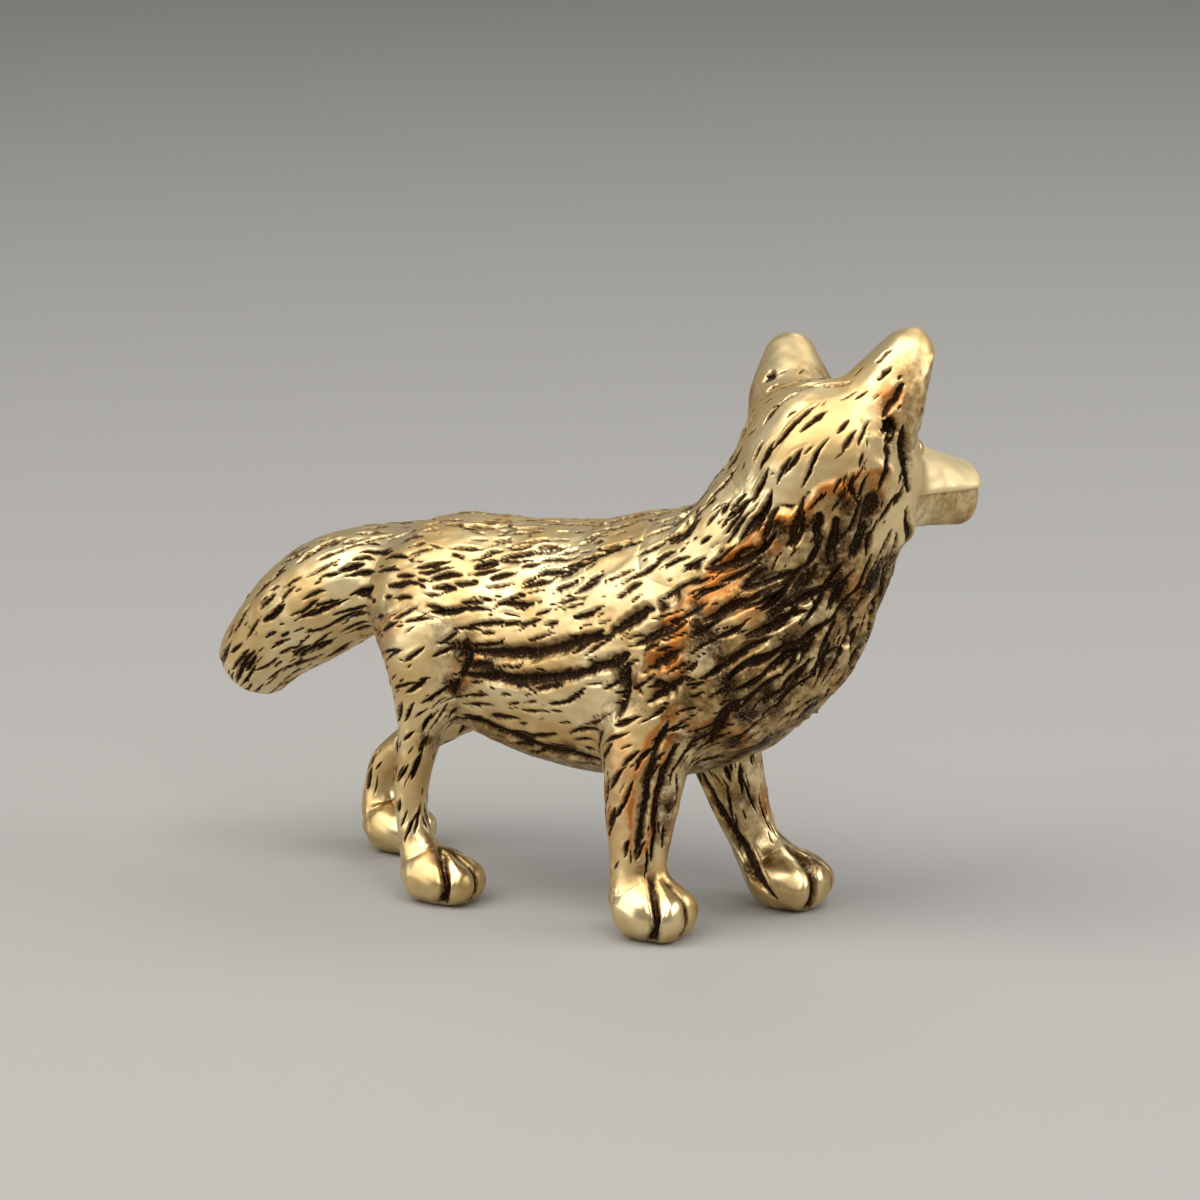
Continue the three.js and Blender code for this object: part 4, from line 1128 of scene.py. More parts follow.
    def face(self, points: Array) -> Array:
        """Share of points that belongs to the face: in front of the cheeks and above the throat."""
        ahead, up = self.face_from
        return ramp(*ahead, self.own(points)[..., 0]) * ramp(*up, points[..., 2])

    def on_crown(self, points: Array) -> Flags:
        """Whether points lie behind the face, where fur is cut."""
        return self.own(points)[..., 0] < self.crown_end

    def below_tips(self, points: Array) -> Flags:
        """Whether points lie below the ears' smooth tips."""
        return self.own(points)[..., 2] < self.ear_fur_end

    def fur_flow(self, points: Array) -> Array:
        """Fur of the head: up and over the crown, steeper than on the neck."""
        low, more = self.fur_rises
        return rising(low + more * ramp(*self.steep_from, points[..., 2]))

    def placed(self, cut: Groove, side: Side) -> Groove:
        """A cut that is given on the right half, in the head's own axes, put in its place on one half."""
        path = tuple(self.at(forward, -side.value * left, up) for forward, left, up in cut.path)
        return replace(cut, path=path, mirrored=False)

    def carve(self, pelt: Pelt) -> None:
        """Cuts the crown's fur, the face's edge and pits, the ears, the mouth and the nose."""
        swells = replace(SWELLS, length=(1.8, 3.4), width=(0.7, 1.1))
        slashes = Coat(2.4, 1.4, (1.6, 3.2), (0.22, 0.36), (0.14, 0.22), lip=0.06, skipped=0.3)
        coat = Coat(1.4, 0.75, (0.8, 2.2), (0.15, 0.3), (0.1, 0.18), lip=0.05, skipped=0.15)
        ticks = replace(TICKS, pitch_round=0.7, length=(0.3, 1), skipped=0.45)
        for number, layer in enumerate((swells, slashes, coat, ticks)):
            pelt.comb("skull", layer, self.fur_flow, self.on_crown, 31 + number)
        for side in Side:
            name = f"{side.name.lower()}_ear"
            pelt.comb(name, ticks, self.fur_flow, self.below_tips, 36 + side.value)
            self.hollow_ear(pelt, side)
        for cut in self.face_cuts:
            for side in Side:
                pelt.groove(self.placed(cut, side))
        self.carve_face(pelt.skins["skull"])
        for side in Side:
            pelt.skins[f"{side.name.lower()}_eye"].matte -= 1
        for name in ("skull", "ruff", "withers", "right_ear", "left_ear"):
            self.raise_face(pelt.skins[name])

    def carve_face(self, skin: Skin) -> None:
        """Sinks eye sockets, nostrils and the jaw under its lip, paints shade on the jaw below the lip, and
        makes the muzzle even.
        """
        pits = ((self.eye_at, self.socket_size), (self.nostril_at, self.nostril_size))
        for place, (radius, depth) in pits:
            off = self.away(skin, place)
            skin.mark(slice(None), 1 - off / radius, np.full_like(off, depth))
        forward, _, up = np.moveaxis(self.own(skin.points), -1, 0)
        corner, height = self.mouth_at
        below = self.mouth_slope * (forward - corner) + height - up
        jaw = ramp(corner, corner + self.mouth_corner, forward)
        fade, depth = self.ledge_size
        ledge = ramp(-0.02, 0.12, below) * np.exp(-np.maximum(below, 0) / fade) * jaw
        skin.hollow += depth * ledge
        width, height = self.lip_size
        skin.lift += height * bell(below + self.lip_above, width) * jaw * (1 - ramp(*self.lip_end, forward))
        # Painted shade in the ledge and on the jaw below the lip.
        in_ledge, on_jaw = self.jaw_shade
        skin.paint_stain_and_shade(np.maximum(in_ledge * ledge, on_jaw * ramp(0.05, 0.3, below) * jaw))
        skin.matte += ramp(*self.muzzle_from, forward) * (1 - ramp(0, 0.2, below))

    def raise_face(self, skin: Skin) -> None:
        """Raises brows, jaw tufts and the nose, and sinks hollows behind the cheeks with painted shade in
        them.
        """
        forward, left, up = np.moveaxis(self.own(skin.points), -1, 0)
        ahead, above = self.brow_step
        brow = np.hypot(forward - self.eye_at[0] - ahead, up - self.eye_at[2] - above)
        radius, height = self.brow_size
        skin.lift += height * bell(brow, radius) * ramp(0.5, 1.2, np.abs(left))
        cheek = self.away(skin, self.cheek_at, self.cheek_squash)
        radius, depth = self.cheek_size
        skin.hollow += depth * bell(cheek, radius)
        # Painted shade in the hollows behind the cheeks.
        radius, darkening = self.cheek_shade
        skin.paint_stain_and_shade(darkening * bell(cheek, radius))
        for place, (radius, height) in ((self.tuft_at, self.tuft_size), (self.nose_at, self.nose_size)):
            skin.lift += height * bell(self.away(skin, place), radius)

    def hollow_ear(self, pelt: Pelt, side: Side) -> None:
        """Cuts the ear's hollow in front, a stripe on its outer edge and nicks on its back, and paints shade
        on its forward side.
        """
        skin = pelt.skins[f"{side.name.lower()}_ear"]
        turn = 270 + self.ear_hollow_turn * side.value
        sway = self.ear_hollow_sway * side.value
        hollow = (skin.at(2.3, turn + sway), skin.at(3.9, turn), skin.at(5.7, turn - sway))
        pelt.groove(Groove(hollow, *self.ear_hollow_size, 0.1, mirrored=False))
        nicks = self.right_nicks if side is Side.RIGHT else self.left_nicks
        for cut in (self.ear_stripe, *nicks):
            pelt.groove(self.placed(cut, side))
        # Painted shade on the ear's forward side, up to below the tip.
        forward, _, up = np.moveaxis(self.own(skin.points), -1, 0)
        ahead, above = self.ear_brown
        shaded = ramp(*ahead, forward) * (1 - ramp(*above, up))
        skin.paint_stain_and_shade(self.ear_soot * shaded)
        # Copper tint on the ear, which also paints in an orange reflection.
        skin.copper += bell(self.away(skin, self.ear_copper_at), self.ear_copper_radius)


@dataclass
class Tail:
    """Brush that droops more and more from the root to the tip."""

    root: Array
    length: float = 14.2
    droop: Span = (10, 55)
    girths: Point = (3.8, 5.8, 3.5)
    tip_rounding: float = 1.2
    steps: int = 5
    fur_to: float = 1.5
    fur_lie: float = 4
    brush: Form = field(init=False)

    def __post_init__(self) -> None:
        """Works out the brush from equal steps that turn down."""
        shares = (np.arange(self.steps) + 0.5) / self.steps
        droop = np.radians(self.droop[0] + (self.droop[1] - self.droop[0]) * shares)
        strides = np.stack([-np.cos(droop), 0 * droop, -np.sin(droop)], axis=-1) * self.length / self.steps
        middles = np.vstack([self.root, self.root + np.cumsum(strides, axis=0)])
        girths = catmull_rom(np.array(self.girths)[:, None], np.linspace(0, 2, self.steps + 1))[:, 0]
        sections = [Section(tuple(m), girth, girth) for m, girth in zip(middles, girths)]
        self.brush = Form(sections, start_cap=self.tip_rounding, end_cap=self.tip_rounding)

    def flow(self, points: Array) -> Array:
        """Fur of the brush: along its droop, which steepens with the way from the root."""
        share = np.clip((self.root[0] - points[..., 0]) / self.length, 0, 1)
        return rising(self.droop[0] + self.fur_lie + (self.droop[1] - self.droop[0]) * share)

    def carve(self, pelt: Pelt) -> None:
        """Cuts the brush's coat."""
        coat = Coat(1.6, 0.7, (0.8, 2.4), (0.15, 0.32), (0.1, 0.18), lip=0.05, skipped=0.12)
        for number, layer in enumerate((SWELLS, SLASHES, coat, TICKS)):
            pelt.comb("brush", layer, self.flow, lambda p: p[..., 0] < self.fur_to, 41 + number)
        skin = pelt.skins["brush"]
        skin.lift *= 1 - ramp(self.length - 2, self.length - 0.5, skin.s)[:, None]


@dataclass
class Leg:
    """One leg with its paw. A front leg leans from the shoulder, a hind leg has stifle, hock and cannon."""

    name: str
    side: Side
    stride: float
    stance: float
    paw_length: float
    paw_width: float
    paw_height: float
    top: Array
    toe_turn: float = 0
    slimness: float = 1
    grooves: tuple[Groove, ...] = ()
    furrows: tuple[Furrow, ...] = ()
    bright_from: float = 2.6
    paw_bright_from: float = 9
    fur_rise: float = 68
    flank_rise: float = 24
    flank_from: Span = (6.5, 12)
    coat_from: float = 3.6
    ticks_from: float = 3.2
    shade_and_patina_depths: Span = (0.8, 0.2)
    front_facing: Span = (0, 0.6)
    inner_facing: Span = (0.2, 0.8)
    polish_end: Span = (2.2, 4.8)
    pastern_height: float = 1.3
    pastern_diameter: float = 2.7
    heel_behind_pastern: float = 1
    sole_flat_depth: float = 0.2
    toe_overhang: float = 0.45
    toe_fan: float = 50
    toe_lines: Span = (0, 2)
    toe_groove: float = 0.5
    toe_depth: float = 0.2
    toe_valley: float = 0.4
    toe_bow: float = 0.2
    toe_reach: Band = ((0.05, 0.4), (0.75, 1.15))
    side_toe_share: float = 0.6
    paw_shape: tuple[Point, ...] = ((0, 0.78, 0.78), (0.5, 1, 0.96), (1, 0.86, 0.64))
    limb: Form = field(init=False)
    paw: Form = field(init=False)

    def __post_init__(self) -> None:
        """Works out the limb and the paw."""
        self.foot = np.array([self.top[0] + self.stride, self.side.value * self.stance, self.pastern_height])
        self.limb = self.lay_limb()
        heel = self.foot[0] - self.heel_behind_pastern
        length = self.paw_length + self.toe_overhang
        sections = []
        for share, wide, high in self.paw_shape:
            tall = self.paw_height * high
            middle = (heel + length * share, self.foot[1], tall / 2 - self.sole_flat_depth)
            sections.append(Section(middle, self.paw_width * wide, tall))
        self.paw = Form(sections, start_cap=self.paw_length / 4, end_cap=self.paw_length / 4)

    @property
    def sole(self) -> Array:
        """Middle of the paw's flat sole."""
        return np.array([self.foot[0] - self.heel_behind_pastern + self.paw_length / 2, self.foot[1], 0])

    def lay_limb(self) -> Form:
        """The limb's form, from inside the trunk to the pastern."""
        raise NotImplementedError

    def share_down(self, height: float) -> float:
        """Share of the way from the leg's top to its foot at a height."""
        return min(max((self.top[2] - height) / (self.top[2] - self.foot[2]), 0), 1)

    def fur_flow(self, points: Array) -> Array:
        """Fur of the limb: as on the flank at its top, and steeply up and forwards below."""
        low = 1 - ramp(*self.flank_from, points[..., 2])
        return rising(self.flank_rise + (self.fur_rise - self.flank_rise) * low)

    def carve(self, pelt: Pelt, seed: int) -> None:
        """Cuts the limb's slashes and long grooves, parts the toes and leaves the ankle smooth."""
        limb = f"{self.name}_limb"
        coat = Coat(1.5, 0.75, (0.8, 2.1), (0.18, 0.38), (0.12, 0.22), lip=0.06, skipped=0.14, swerve=14)
        pelt.comb(limb, coat, self.fur_flow, lambda p: p[..., 2] > self.coat_from, seed)
        pelt.comb(limb, TICKS, self.fur_flow, lambda p: p[..., 2] > self.ticks_from, seed + 1)
        skin = pelt.skins[limb]
        flipped = self.side is Side.LEFT
        for groove in (*self.grooves, *(furrow.groove(skin, False, flipped) for furrow in self.furrows)):
            pelt.groove(groove)
        # Copper tint on the limb, which also paints in an orange reflection.
        skin.copper += 0.35 * ramp(0.9, 1.7, waves(skin.points, 4, seed + 2))
        skin.matte -= 1 - ramp(*self.polish_end, skin.points[..., 2])
        paw = pelt.skins[f"{self.name}_paw"]
        paw.matte -= 1
        # Painted shade and patina on the forward and inner faces above a height.
        for part, bright_from in ((skin, self.bright_from), (paw, self.paw_bright_from)):
            self.brown(part, bright_from)
            self.part_toes(part)

    def brown(self, skin: Skin, bright_from: float) -> None:
        """Paints shade and patina on the forward and inner faces above a height."""
        inner = ramp(*self.inner_facing, -self.side.value * skin.normals[..., 1])
        faces = np.maximum(ramp(*self.front_facing, skin.normals[..., 0]), inner)
        faces = faces * ramp(bright_from - 1.5, bright_from + 1, skin.points[..., 2])
        depth, uneven = self.shade_and_patina_depths
        skin.paint_stain_and_shade((depth + uneven * waves(skin.points, 2, 64)) * faces)

    def part_toes(self, skin: Skin) -> None:
        """Sinks the skin towards each line between two toes. The lines fan out from the sole's middle."""
        ahead, aside, z = np.moveaxis(skin.points - self.sole, -1, 0)
        turned = (np.degrees(np.arctan2(aside, ahead)) - self.toe_turn + 180) % 360 - 180
        line = np.clip(np.round(turned / self.toe_fan), *self.toe_lines)
        bow = self.toe_bow * np.sin(math.pi * z / self.paw_height)
        off = np.abs(np.hypot(ahead, aside) * np.radians(turned - line * self.toe_fan) - bow)
        rise, fall = self.toe_reach
        low = ramp(*rise, z) * (1 - ramp(*fall, z / self.paw_height))
        weight = np.where(line == 0, 1, self.side_toe_share)
        reach = low * weight
        share = np.minimum(1 - off / (self.toe_groove * weight / 2), 2 * reach - 0.6)
        skin.mark(slice(None), share, self.toe_depth * reach)
        skin.hollow += self.toe_depth * reach * bell(off, self.toe_valley)


@dataclass
class FrontLeg(Leg):
    """Column from the girth that leans towards its foot."""

    shoulder: Span = (4.2, 5.2)
    joints: tuple[Point, ...] = ((9, 3.9, 4.4), (6.4, 3.4, 3.7), (3.4, 2.7, 2.8))
    shank_setback: float = 0.25
    furrows: tuple[Furrow, ...] = (
        Furrow(1.8, 7, 138, -20, depth=0.36, core=0.75, copper=1),
        Furrow(3, 4.4, 122, -11, depth=0.36, core=0.75),
    )

    def lay_limb(self) -> Form:
        """Shoulder, elbow, forearm, knee and pastern: forwards by the share squared, out by its root."""
        sections = [Section(tuple(self.top), *self.shoulder)]
        for height, width, length in self.joints:
            share = self.share_down(height)
            x = self.top[0] + self.stride * share**2 - self.shank_setback
            y = self.top[1] + (self.foot[1] - self.top[1]) * math.sqrt(share)
            sections.append(Section((x, y, height), width * self.slimness, length * self.slimness))
        sections.append(Section(tuple(self.foot), self.pastern_diameter, self.pastern_diameter))
        return Form(sections, start_cap=self.shoulder[1] / 2, end_cap=self.pastern_diameter / 3)


@dataclass
class HindLeg(Leg):
    """Thigh, stifle, hock and cannon, with the hock swung back when the foot trails."""

    bright_from: float = 7.5
    hip: Span = (4, 6.4)
    thigh: Point = (11.8, 4.2, 5.2)
    stifle: Point = (8.2, 2.4, 2.3)
    stifle_setback: float = 0.5
    hock: Point = (5, 1.8, 1.7)
    hock_setback: float = 1.15
    cannon: Point = (2.6, 1.75, 1.75)
    cannon_setback: float = 0.7
    stifle_swing: float = 0.1
    hock_swing: float = 0.78

    def lay_limb(self) -> Form:
        """Hip to pastern, each joint at its own share of the stride."""
        forward = (
            (self.thigh, 0),
            (self.stifle, self.stride * self.stifle_swing - self.stifle_setback),
            (self.hock, self.stride * self.hock_swing - self.hock_setback),
            (self.cannon, self.stride - self.cannon_setback),
        )
        sections = [Section(tuple(self.top), *self.hip)]
        for (height, width, length), step in forward:
            y = self.top[1] + (self.foot[1] - self.top[1]) * self.share_down(height)
            sections.append(Section((self.top[0] + step, y, height), width, length))
        sections.append(Section(tuple(self.foot), self.pastern_diameter, self.pastern_diameter))
        return Form(sections, start_cap=self.hip[1] / 3, end_cap=self.pastern_diameter / 3)


@dataclass(frozen=True)
class Finish:
    """Antique brass: worn metal on the high ground and a dark patina in the cuts; its stain and patina
    colours also paint shade, and its copper also paints in an orange reflection.
    """

    name: str
    roughness: Span
    grain: float
    pale: Point = (0.87, 0.70, 0.39)
    deep: Point = (0.65, 0.45, 0.19)
    # Stain and patina also serve as painted shade, where the cut value is raised without a cut.
    stain: Point = (0.18, 0.09, 0.026)
    patina: Point = (0.024, 0.012, 0.006)
    copper: Point = (0.54, 0.19, 0.035)
    patina_roughness: float = 0.42
    bump: float = 0.35
    bump_height: float = 0.06

    def material(self, tarnish: bpy.types.NodeTree) -> bpy.types.Material:
        """Builds the material round the shared tarnish group.

        Args:
            tarnish: The node group made by tarnish_group.

        Returns:
            The new material.
        """
        made = bpy.data.materials.new(self.name)
        made.use_nodes = True
        nodes, links = made.node_tree.nodes, made.node_tree.links
        shader = nodes["Principled BSDF"]
        shader.inputs["Metallic"].default_value = 1
        group = nodes.new("ShaderNodeGroup")
        group.node_tree = tarnish
        settings = {
            "Pale": (*self.pale, 1),
            "Deep": (*self.deep, 1),
            "Stain": (*self.stain, 1),
            "Patina": (*self.patina, 1),
            "Copper": (*self.copper, 1),
            "Roughness Low": self.roughness[0],
            "Roughness High": self.roughness[1],
            "Patina Roughness": self.patina_roughness,
            "Grain": self.grain,
        }
        for socket, value in settings.items():
            group.inputs[socket].default_value = value
        place = nodes.new("ShaderNodeTexCoord")
        links.new(place.outputs["Object"], group.inputs["Place"])
        for label, socket in (("cut", "Cut"), ("copper", "Copper Share"), ("matte", "Matte")):
            reader = nodes.new("ShaderNodeAttribute")
            reader.attribute_name = label
            links.new(reader.outputs["Fac"], group.inputs[socket])
        bump = nodes.new("ShaderNodeBump")
        bump.inputs["Strength"].default_value = self.bump
        bump.inputs["Distance"].default_value = self.bump_height * MM
        links.new(group.outputs["Height"], bump.inputs["Height"])
        links.new(group.outputs["Colour"], shader.inputs["Base Color"])
        links.new(group.outputs["Roughness"], shader.inputs["Roughness"])
        links.new(bump.outputs["Normal"], shader.inputs["Normal"])
        return made


class Net:
    """Short ways to add nodes to a node tree and join them."""

    MIX_SOCKETS = {"RGBA": (6, 7, 2), "FLOAT": (2, 3, 0)}

    def __init__(self, tree: bpy.types.NodeTree) -> None:
        """Keeps the tree."""
        self.tree = tree

    def join(self, source: object, target: bpy.types.NodeSocket) -> None:
        """Links an output socket to an input, or sets the input to a plain value."""
        if isinstance(source, bpy.types.NodeSocket):
            self.tree.links.new(source, target)
        else:
            target.default_value = source

    def noise(self, place: bpy.types.NodeSocket, size: float, detail: float = 2) -> bpy.types.NodeSocket:
        """Noise with features of about size, in mm."""
        node = self.tree.nodes.new("ShaderNodeTexNoise")
        self.join(place, node.inputs["Vector"])
        node.inputs["Scale"].default_value = 1 / (size * MM)
        node.inputs["Detail"].default_value = detail
        return node.outputs["Fac"]

    def maths(self, operation: str, *values: object) -> bpy.types.NodeSocket:
        """One math node on values or sockets."""
        node = self.tree.nodes.new("ShaderNodeMath")
        node.operation = operation
        for socket, value in zip(node.inputs, values):
            self.join(value, socket)
        return node.outputs[0]

    def step(self, value: bpy.types.NodeSocket, low: float, high: float) -> bpy.types.NodeSocket:
        """Smooth step of a socket from low to high."""
        node = self.tree.nodes.new("ShaderNodeMapRange")
        node.interpolation_type = "SMOOTHSTEP"
        self.join(value, node.inputs["Value"])
        node.inputs["From Min"].default_value = low
        node.inputs["From Max"].default_value = high
        return node.outputs["Result"]

    def mix(self, kind: str, share: object, first: object, second: object) -> bpy.types.NodeSocket:
        """Colour (kind RGBA) or number (kind FLOAT) between first and second by a share."""
        node = self.tree.nodes.new("ShaderNodeMix")
        node.data_type = kind
        low, high, result = self.MIX_SOCKETS[kind]
        self.join(share, node.inputs["Factor"])
        self.join(first, node.inputs[low])
        self.join(second, node.inputs[high])
        return node.outputs[result]


def tarnish_group() -> bpy.types.NodeTree:
    """Shared effect of antique brass: ragged dark cuts with bright specks that also paint in glints, cloudy
    metal, copper edges that also paint in an orange reflection, and painted shade in the stain and patina
    colours.

    Returns:
        The node group, with outputs Colour, Roughness and Height.
    """
    tree = bpy.data.node_groups.new("tarnish", "ShaderNodeTree")
    sockets = tree.interface
    sockets.new_socket("Place", in_out="INPUT", socket_type="NodeSocketVector")
    shares = ("Cut", "Copper Share", "Matte", "Grain")
    for label in (*shares, "Roughness Low", "Roughness High", "Patina Roughness"):
        sockets.new_socket(label, in_out="INPUT", socket_type="NodeSocketFloat")
    for label in ("Pale", "Deep", "Stain", "Patina", "Copper"):
        sockets.new_socket(label, in_out="INPUT", socket_type="NodeSocketColor")
    sockets.new_socket("Colour", in_out="OUTPUT", socket_type="NodeSocketColor")
    for label in ("Roughness", "Height"):
        sockets.new_socket(label, in_out="OUTPUT", socket_type="NodeSocketFloat")
    net = Net(tree)
    given = tree.nodes.new("NodeGroupInput").outputs
    put = tree.nodes.new("NodeGroupOutput").inputs

    # Cuts have ragged edges and specks of bare metal, which also paint in glints.
    ragged = net.maths("SUBTRACT", net.noise(given["Place"], 0.16, 3), 0.5)
    cut = net.maths("MULTIPLY_ADD", ragged, 0.7, given["Cut"])
    # Patina in the cuts, and painted deep shade where the cut value is raised past 0.
    dark = net.step(cut, 0, 0.5)
    specks_and_glints = net.step(net.noise(given["Place"], 0.07, 1), 0.64, 0.72)
    dark = net.maths("MULTIPLY", dark, net.maths("SUBTRACT", 1, net.maths("MULTIPLY", specks_and_glints, 0.5)))
    # Bare metal is cloudy, with brown stain round the cuts and painted shade where the cut value is raised,
    # and copper, which also paints in an orange reflection, where it is given.
    clouds = net.step(net.noise(given["Place"], 2.6, 3), 0.34, 0.68)
    clouds = net.maths("MAXIMUM", clouds, given["Matte"])
    metal = net.mix("RGBA", clouds, given["Deep"], given["Pale"])
    patchy = net.step(net.noise(given["Place"], 0.5), 0.28, 0.6)
    stained_and_shaded = net.maths("MULTIPLY", net.step(cut, -0.65, 0.15), patchy)
    metal = net.mix("RGBA", net.maths("MULTIPLY", stained_and_shaded, 0.85), metal, given["Stain"])
    worn = net.step(net.noise(given["Place"], 0.8, 3), 0.3, 0.5)
    edge = net.maths("MULTIPLY", given["Copper Share"], worn)
    metal = net.mix("RGBA", edge, metal, given["Copper"])
    net.join(net.mix("RGBA", dark, metal, given["Patina"]), put["Colour"])

    # Clouds, matte ground and patina each have their own polish and grain.
    grain = net.noise(given["Place"], 0.09, 2)
    polish = net.mix("FLOAT", clouds, given["Roughness High"], given["Roughness Low"])
    polish = net.maths("MULTIPLY_ADD", given["Matte"], 0.14, polish)
    net.join(net.mix("FLOAT", dark, polish, given["Patina Roughness"]), put["Roughness"])
    coarse = net.maths("MULTIPLY_ADD", given["Matte"], 0.2, given["Grain"])
    net.join(net.maths("MULTIPLY", grain, net.mix("FLOAT", dark, coarse, 1.0)), put["Height"])
    return tree


@dataclass
class Fox:
    """The whole fox: its sub-assemblies, how they meet, and the finishes that dress them."""

    trunk: Trunk = field(default_factory=Trunk)
    tail_inset: float = 2.8
    tail_root_rise: float = 1
    shoulder_drop: float = 1.2
    shoulder_spread: float = 2.6
    hip_step: Point = (0.8, 2.7, 1.18)
    fit: float = 0.9955
    lumps: float = 0.014
    aim: Point = (12.2, 0, 15)

    def __post_init__(self) -> None:
        """Places the sub-assemblies and finds the frame's origin from the front right sole."""
        rump, croup, girth = (np.array(self.trunk.rib(k).middle) for k in (0, 1, 4))
        self.head = Head(self.trunk.poll)
        self.tail = Tail(rump + [self.tail_inset, 0, self.tail_root_rise])
        forward, spread, rise = self.hip_step
        shoulders = {s: girth + [0, s.value * self.shoulder_spread, -self.shoulder_drop] for s in Side}
        hips = {s: croup + [forward, s.value * spread, rise] for s in Side}
        front = {"paw_length": 3.4, "paw_width": 4, "paw_height": 3.2}
        hind = {"paw_length": 3.5, "paw_width": 3.6, "paw_height": 2.9}
        step = ((16.6, 1.9, 7.6), (17.1, 1.9, 5.9), (18.3, 2, 3.9), (20, 1.7, 2), (21.4, 1.6, 0.8))
        stepping = {
            "slimness": 0.9,
            "grooves": (Groove(step, 0.9, 0.3, 0.03, False, 0.8),),
            "bright_from": 1.4,
            "paw_bright_from": 1.4,
            "fur_rise": 106,
        }
        right, left = Side.RIGHT, Side.LEFT
        self.legs = [
            FrontLeg("front_right", right, -0.2, 4.6, top=shoulders[right], toe_turn=-60, **front),
            FrontLeg("front_left", left, 3, 3.4, top=shoulders[left], toe_turn=-30, **front, **stepping),
            HindLeg("hind_right", right, 0.4, 4.3, top=hips[right], toe_turn=-58, **hind),
            HindLeg("hind_left", left, -6, 2.4, top=hips[left], toe_turn=-20, **hind | {"paw_length": 2.9}),
        ]
        mounts = {mount["name"]: mount["pos_m"] for mount in frame["record"]["mounts"]}
        self.origin = self.legs[0].sole - np.array(mounts["front_right_sole"]) / MM

    def lay_skins(self) -> dict[str, Skin]:
        """Lays every skin on its form, filleted towards the forms that it meets."""
        trunk, head, brush = self.trunk, self.head, self.tail.brush
        shared = (trunk.barrel, trunk.ruff, trunk.withers, head.skull)
        barrel, ruff, withers, skull = (Meeting(form) for form in shared)
        ears = [Meeting(form) for form in head.ears.values()]
        # Patina and painted shade gather in the corners where the limbs meet.
        limbs = [Meeting(leg.limb, 0.75) for leg in self.legs]
        fronts = [m for m, leg in zip(limbs, self.legs) if isinstance(leg, FrontLeg)]
        skins = {
            "barrel": Skin(trunk.barrel, 288, 336, [ruff, withers, Meeting(brush, 0.4), *limbs]),
            "ruff": Skin(trunk.ruff, 220, 340, [barrel, withers, skull, *ears, *fronts]),
            "withers": Skin(trunk.withers, 160, 240, [barrel, ruff, skull, *ears]),
            "skull": Skin(head.skull, 240, 280, [ruff, withers, *ears]),
            "brush": Skin(brush, 200, 200, [Meeting(trunk.barrel, 0.4)]),
        }
        for side in Side:
            name = side.name.lower()
            skins[f"{name}_ear"] = Skin(head.ears[side], 140, 160, [skull, ruff, withers])
            skins[f"{name}_eye"] = Skin(head.eyes[side], 24, 36)
        for leg in self.legs:
            # Patina and painted shade gather where the limb meets the trunk.
            meetings = [Meeting(trunk.barrel, 0.75), Meeting(leg.paw)]
            if isinstance(leg, FrontLeg):
                meetings.append(Meeting(trunk.ruff, 0.75))
            skins[f"{leg.name}_limb"] = Skin(leg.limb, 220, 160, meetings)
            skins[f"{leg.name}_paw"] = Skin(leg.paw, 100, 140, [Meeting(leg.limb)])
        return skins

    def node_of(self, name: str) -> str:
        """The solid that a skin stands for."""
        if name in ("barrel", "ruff", "withers"):
            return "trunk"
        if name == "brush":
            return "tail"
        if name.endswith(("_limb", "_paw")):
            return name.rsplit("_", 1)[0] + "_leg"
        return "head"

    def build(self) -> list[Dressed]:
        """Lays the skins, carves them together and writes each as a piece.

        Returns:
            Every piece with the name of the solid that it stands for.
        """
        pelt = Pelt(self.lay_skins())
        self.trunk.carve(pelt)
        self.head.carve(pelt)
        for name in ("barrel", "ruff", "withers", "skull"):
            skin = pelt.skins[name]
            self.trunk.raise_edge(skin, 1 - self.head.face(skin.points))
        self.tail.carve(pelt)
        for number, leg in enumerate(self.legs):
            leg.carve(pelt, 100 + 10 * number)
        made = []
        for name, skin in pelt.skins.items():
            skin.settle(self.origin, 0 if name.endswith("_eye") else self.lumps, self.fit)
            made.append((skin.piece(name), self.node_of(name)))
        return made

    def dress(self, pieces: Sequence[Dressed]) -> None:
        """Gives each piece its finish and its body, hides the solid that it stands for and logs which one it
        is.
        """
        tarnish = tarnish_group()
        brass = Finish("antique brass", (0.36, 0.5), 0.3).material(tarnish)
        for piece, node in pieces:
            piece.data.materials.append(brass)
            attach(piece, "root")
            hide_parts(node)
            LOG.info("%s stands for %s with %d faces", piece.name, node, len(piece.data.polygons))


@dataclass(frozen=True)
class Lamp:
    """One softbox: its direction from the fox in degrees, its distance, its side and its power."""

    name: str
    azimuth: float
    elevation: float
    distance: float
    side: float
    power: float
    colour: Point = (1, 1, 1)


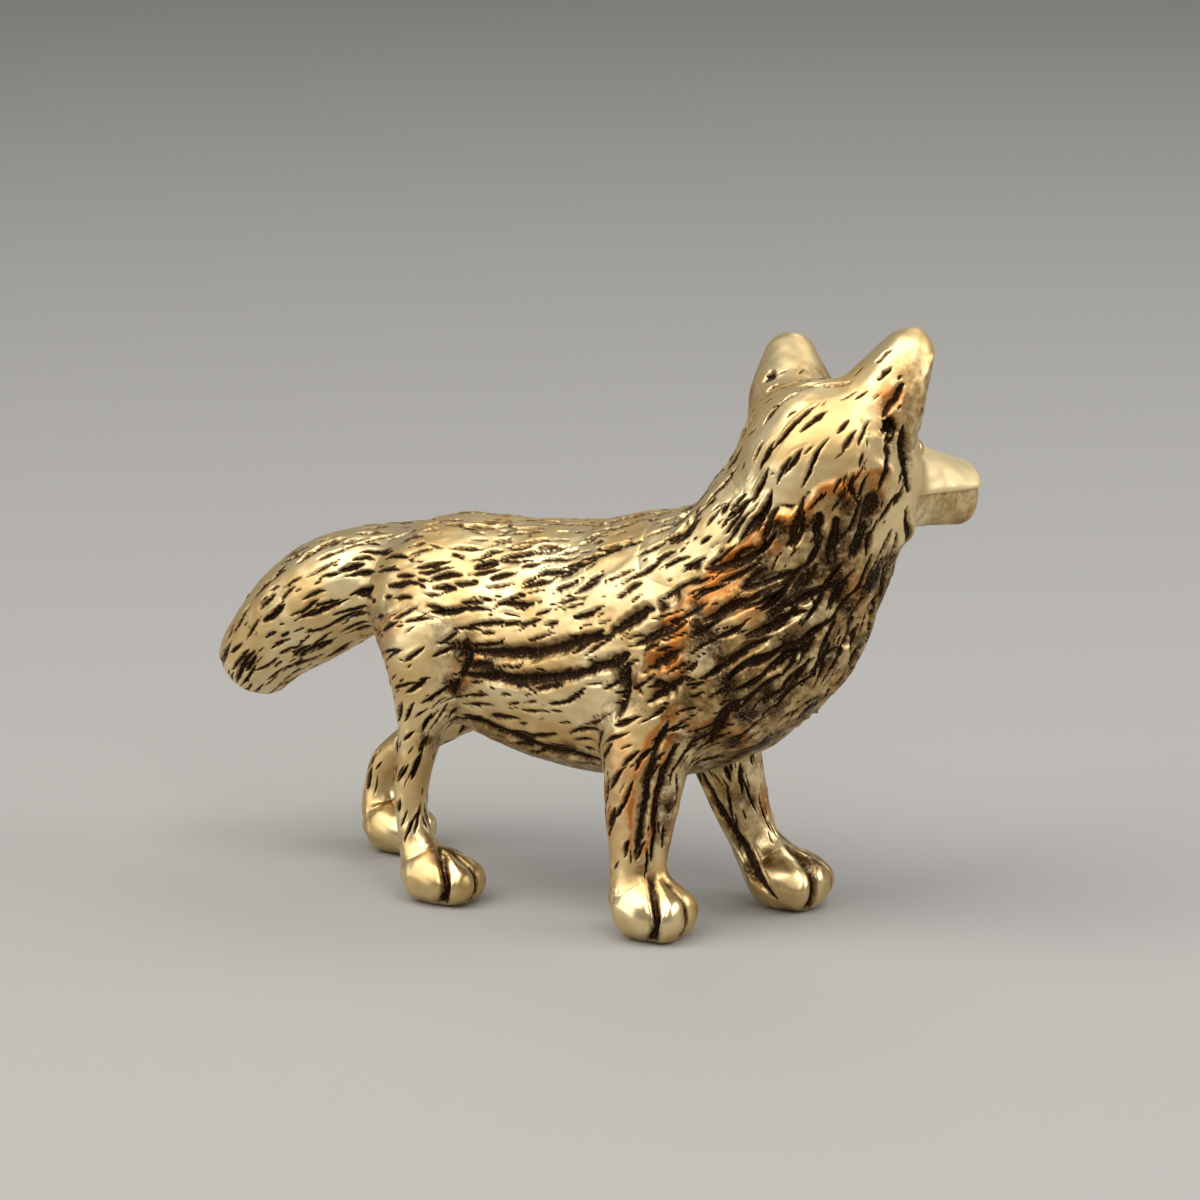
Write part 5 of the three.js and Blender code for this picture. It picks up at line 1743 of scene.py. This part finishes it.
@dataclass
class Studio:
    """Pale floor, soft lamps and the camera at the photograph's angle."""

    target: Array
    azimuth: float = 30
    elevation: float = 13
    distance: float = 250
    lens: float = 154.5
    floor_side: float = 4
    floor_colour: Point = (0.33, 0.32, 0.3)
    sky: Point = (0.26, 0.26, 0.262)
    lamps: tuple[Lamp, ...] = (
        Lamp("key", -30, 54, 0.34, 0.28, 0.95, (1, 0.98, 0.95)),
        Lamp("top", 70, 70, 0.36, 0.2, 0.5),
        Lamp("side", -45, 14, 0.4, 0.25, 0.35),
        Lamp("front", 45, 42, 0.4, 0.2, 0.3),
        Lamp("right", 115, 28, 0.4, 0.26, 0.8),
        Lamp("rim", 190, 50, 0.4, 0.2, 0.2),
    )

    def towards(self, azimuth: float, elevation: float) -> Vector:
        """Unit vector from the fox to a place at an azimuth, from the right flank, and an elevation."""
        a, e = math.radians(azimuth), math.radians(elevation)
        return Vector((math.sin(a) * math.cos(e), -math.cos(a) * math.cos(e), math.sin(e)))

    def add(self, name: str, data: bpy.types.ID, direction: Vector, distance: float) -> bpy.types.Object:
        """Puts a lamp or camera at a distance from the fox, turned to it."""
        made = bpy.data.objects.new(name, data)
        made.location = Vector(self.target) * MM + direction * distance
        made.rotation_euler = (-direction).to_track_quat("-Z", "Y").to_euler()
        bpy.context.scene.collection.objects.link(made)
        return made

    def build(self) -> None:
        """Makes the floor, the sky, the lamps and the camera."""
        self.build_floor()
        self.build_sky()
        for lamp in self.lamps:
            data = bpy.data.lights.new(lamp.name, "AREA")
            data.size = lamp.side
            data.energy = lamp.power
            data.color = lamp.colour
            self.add(lamp.name, data, self.towards(lamp.azimuth, lamp.elevation), lamp.distance)
        data = bpy.data.cameras.new("camera")
        data.lens = self.lens
        data.clip_start = 0.01
        camera = self.add("camera", data, self.towards(self.azimuth, self.elevation), self.distance * MM)
        bpy.context.scene.camera = camera
        bpy.context.scene.view_settings.view_transform = "Standard"

    def build_floor(self) -> None:
        """One wide flat sheet under the soles."""
        reach = self.floor_side / 2
        corners = [(-reach, -reach, 0), (reach, -reach, 0), (reach, reach, 0), (-reach, reach, 0)]
        mesh = bpy.data.meshes.new("floor")
        mesh.from_pydata(corners, [], [(0, 1, 2, 3)])
        floor = bpy.data.objects.new("floor", mesh)
        bpy.context.scene.collection.objects.link(floor)
        material = bpy.data.materials.new("floor")
        material.use_nodes = True
        shader = material.node_tree.nodes["Principled BSDF"]
        shader.inputs["Base Color"].default_value = (*self.floor_colour, 1)
        shader.inputs["Roughness"].default_value = 0.8
        mesh.materials.append(material)

    def build_sky(self) -> None:
        """Even grey light from all round."""
        world = bpy.data.worlds.new("studio")
        world.use_nodes = True
        world.node_tree.nodes["Background"].inputs["Color"].default_value = (*self.sky, 1)
        bpy.context.scene.world = world


def main() -> None:
    """Builds the fox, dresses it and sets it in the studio."""
    logging.basicConfig(level=logging.INFO, format="%(message)s")
    fox = Fox()
    pieces = fox.build()
    fox.dress(pieces)
    Studio(target=np.array(fox.aim) - fox.origin).build()


if __name__ == "__main__":
    main()
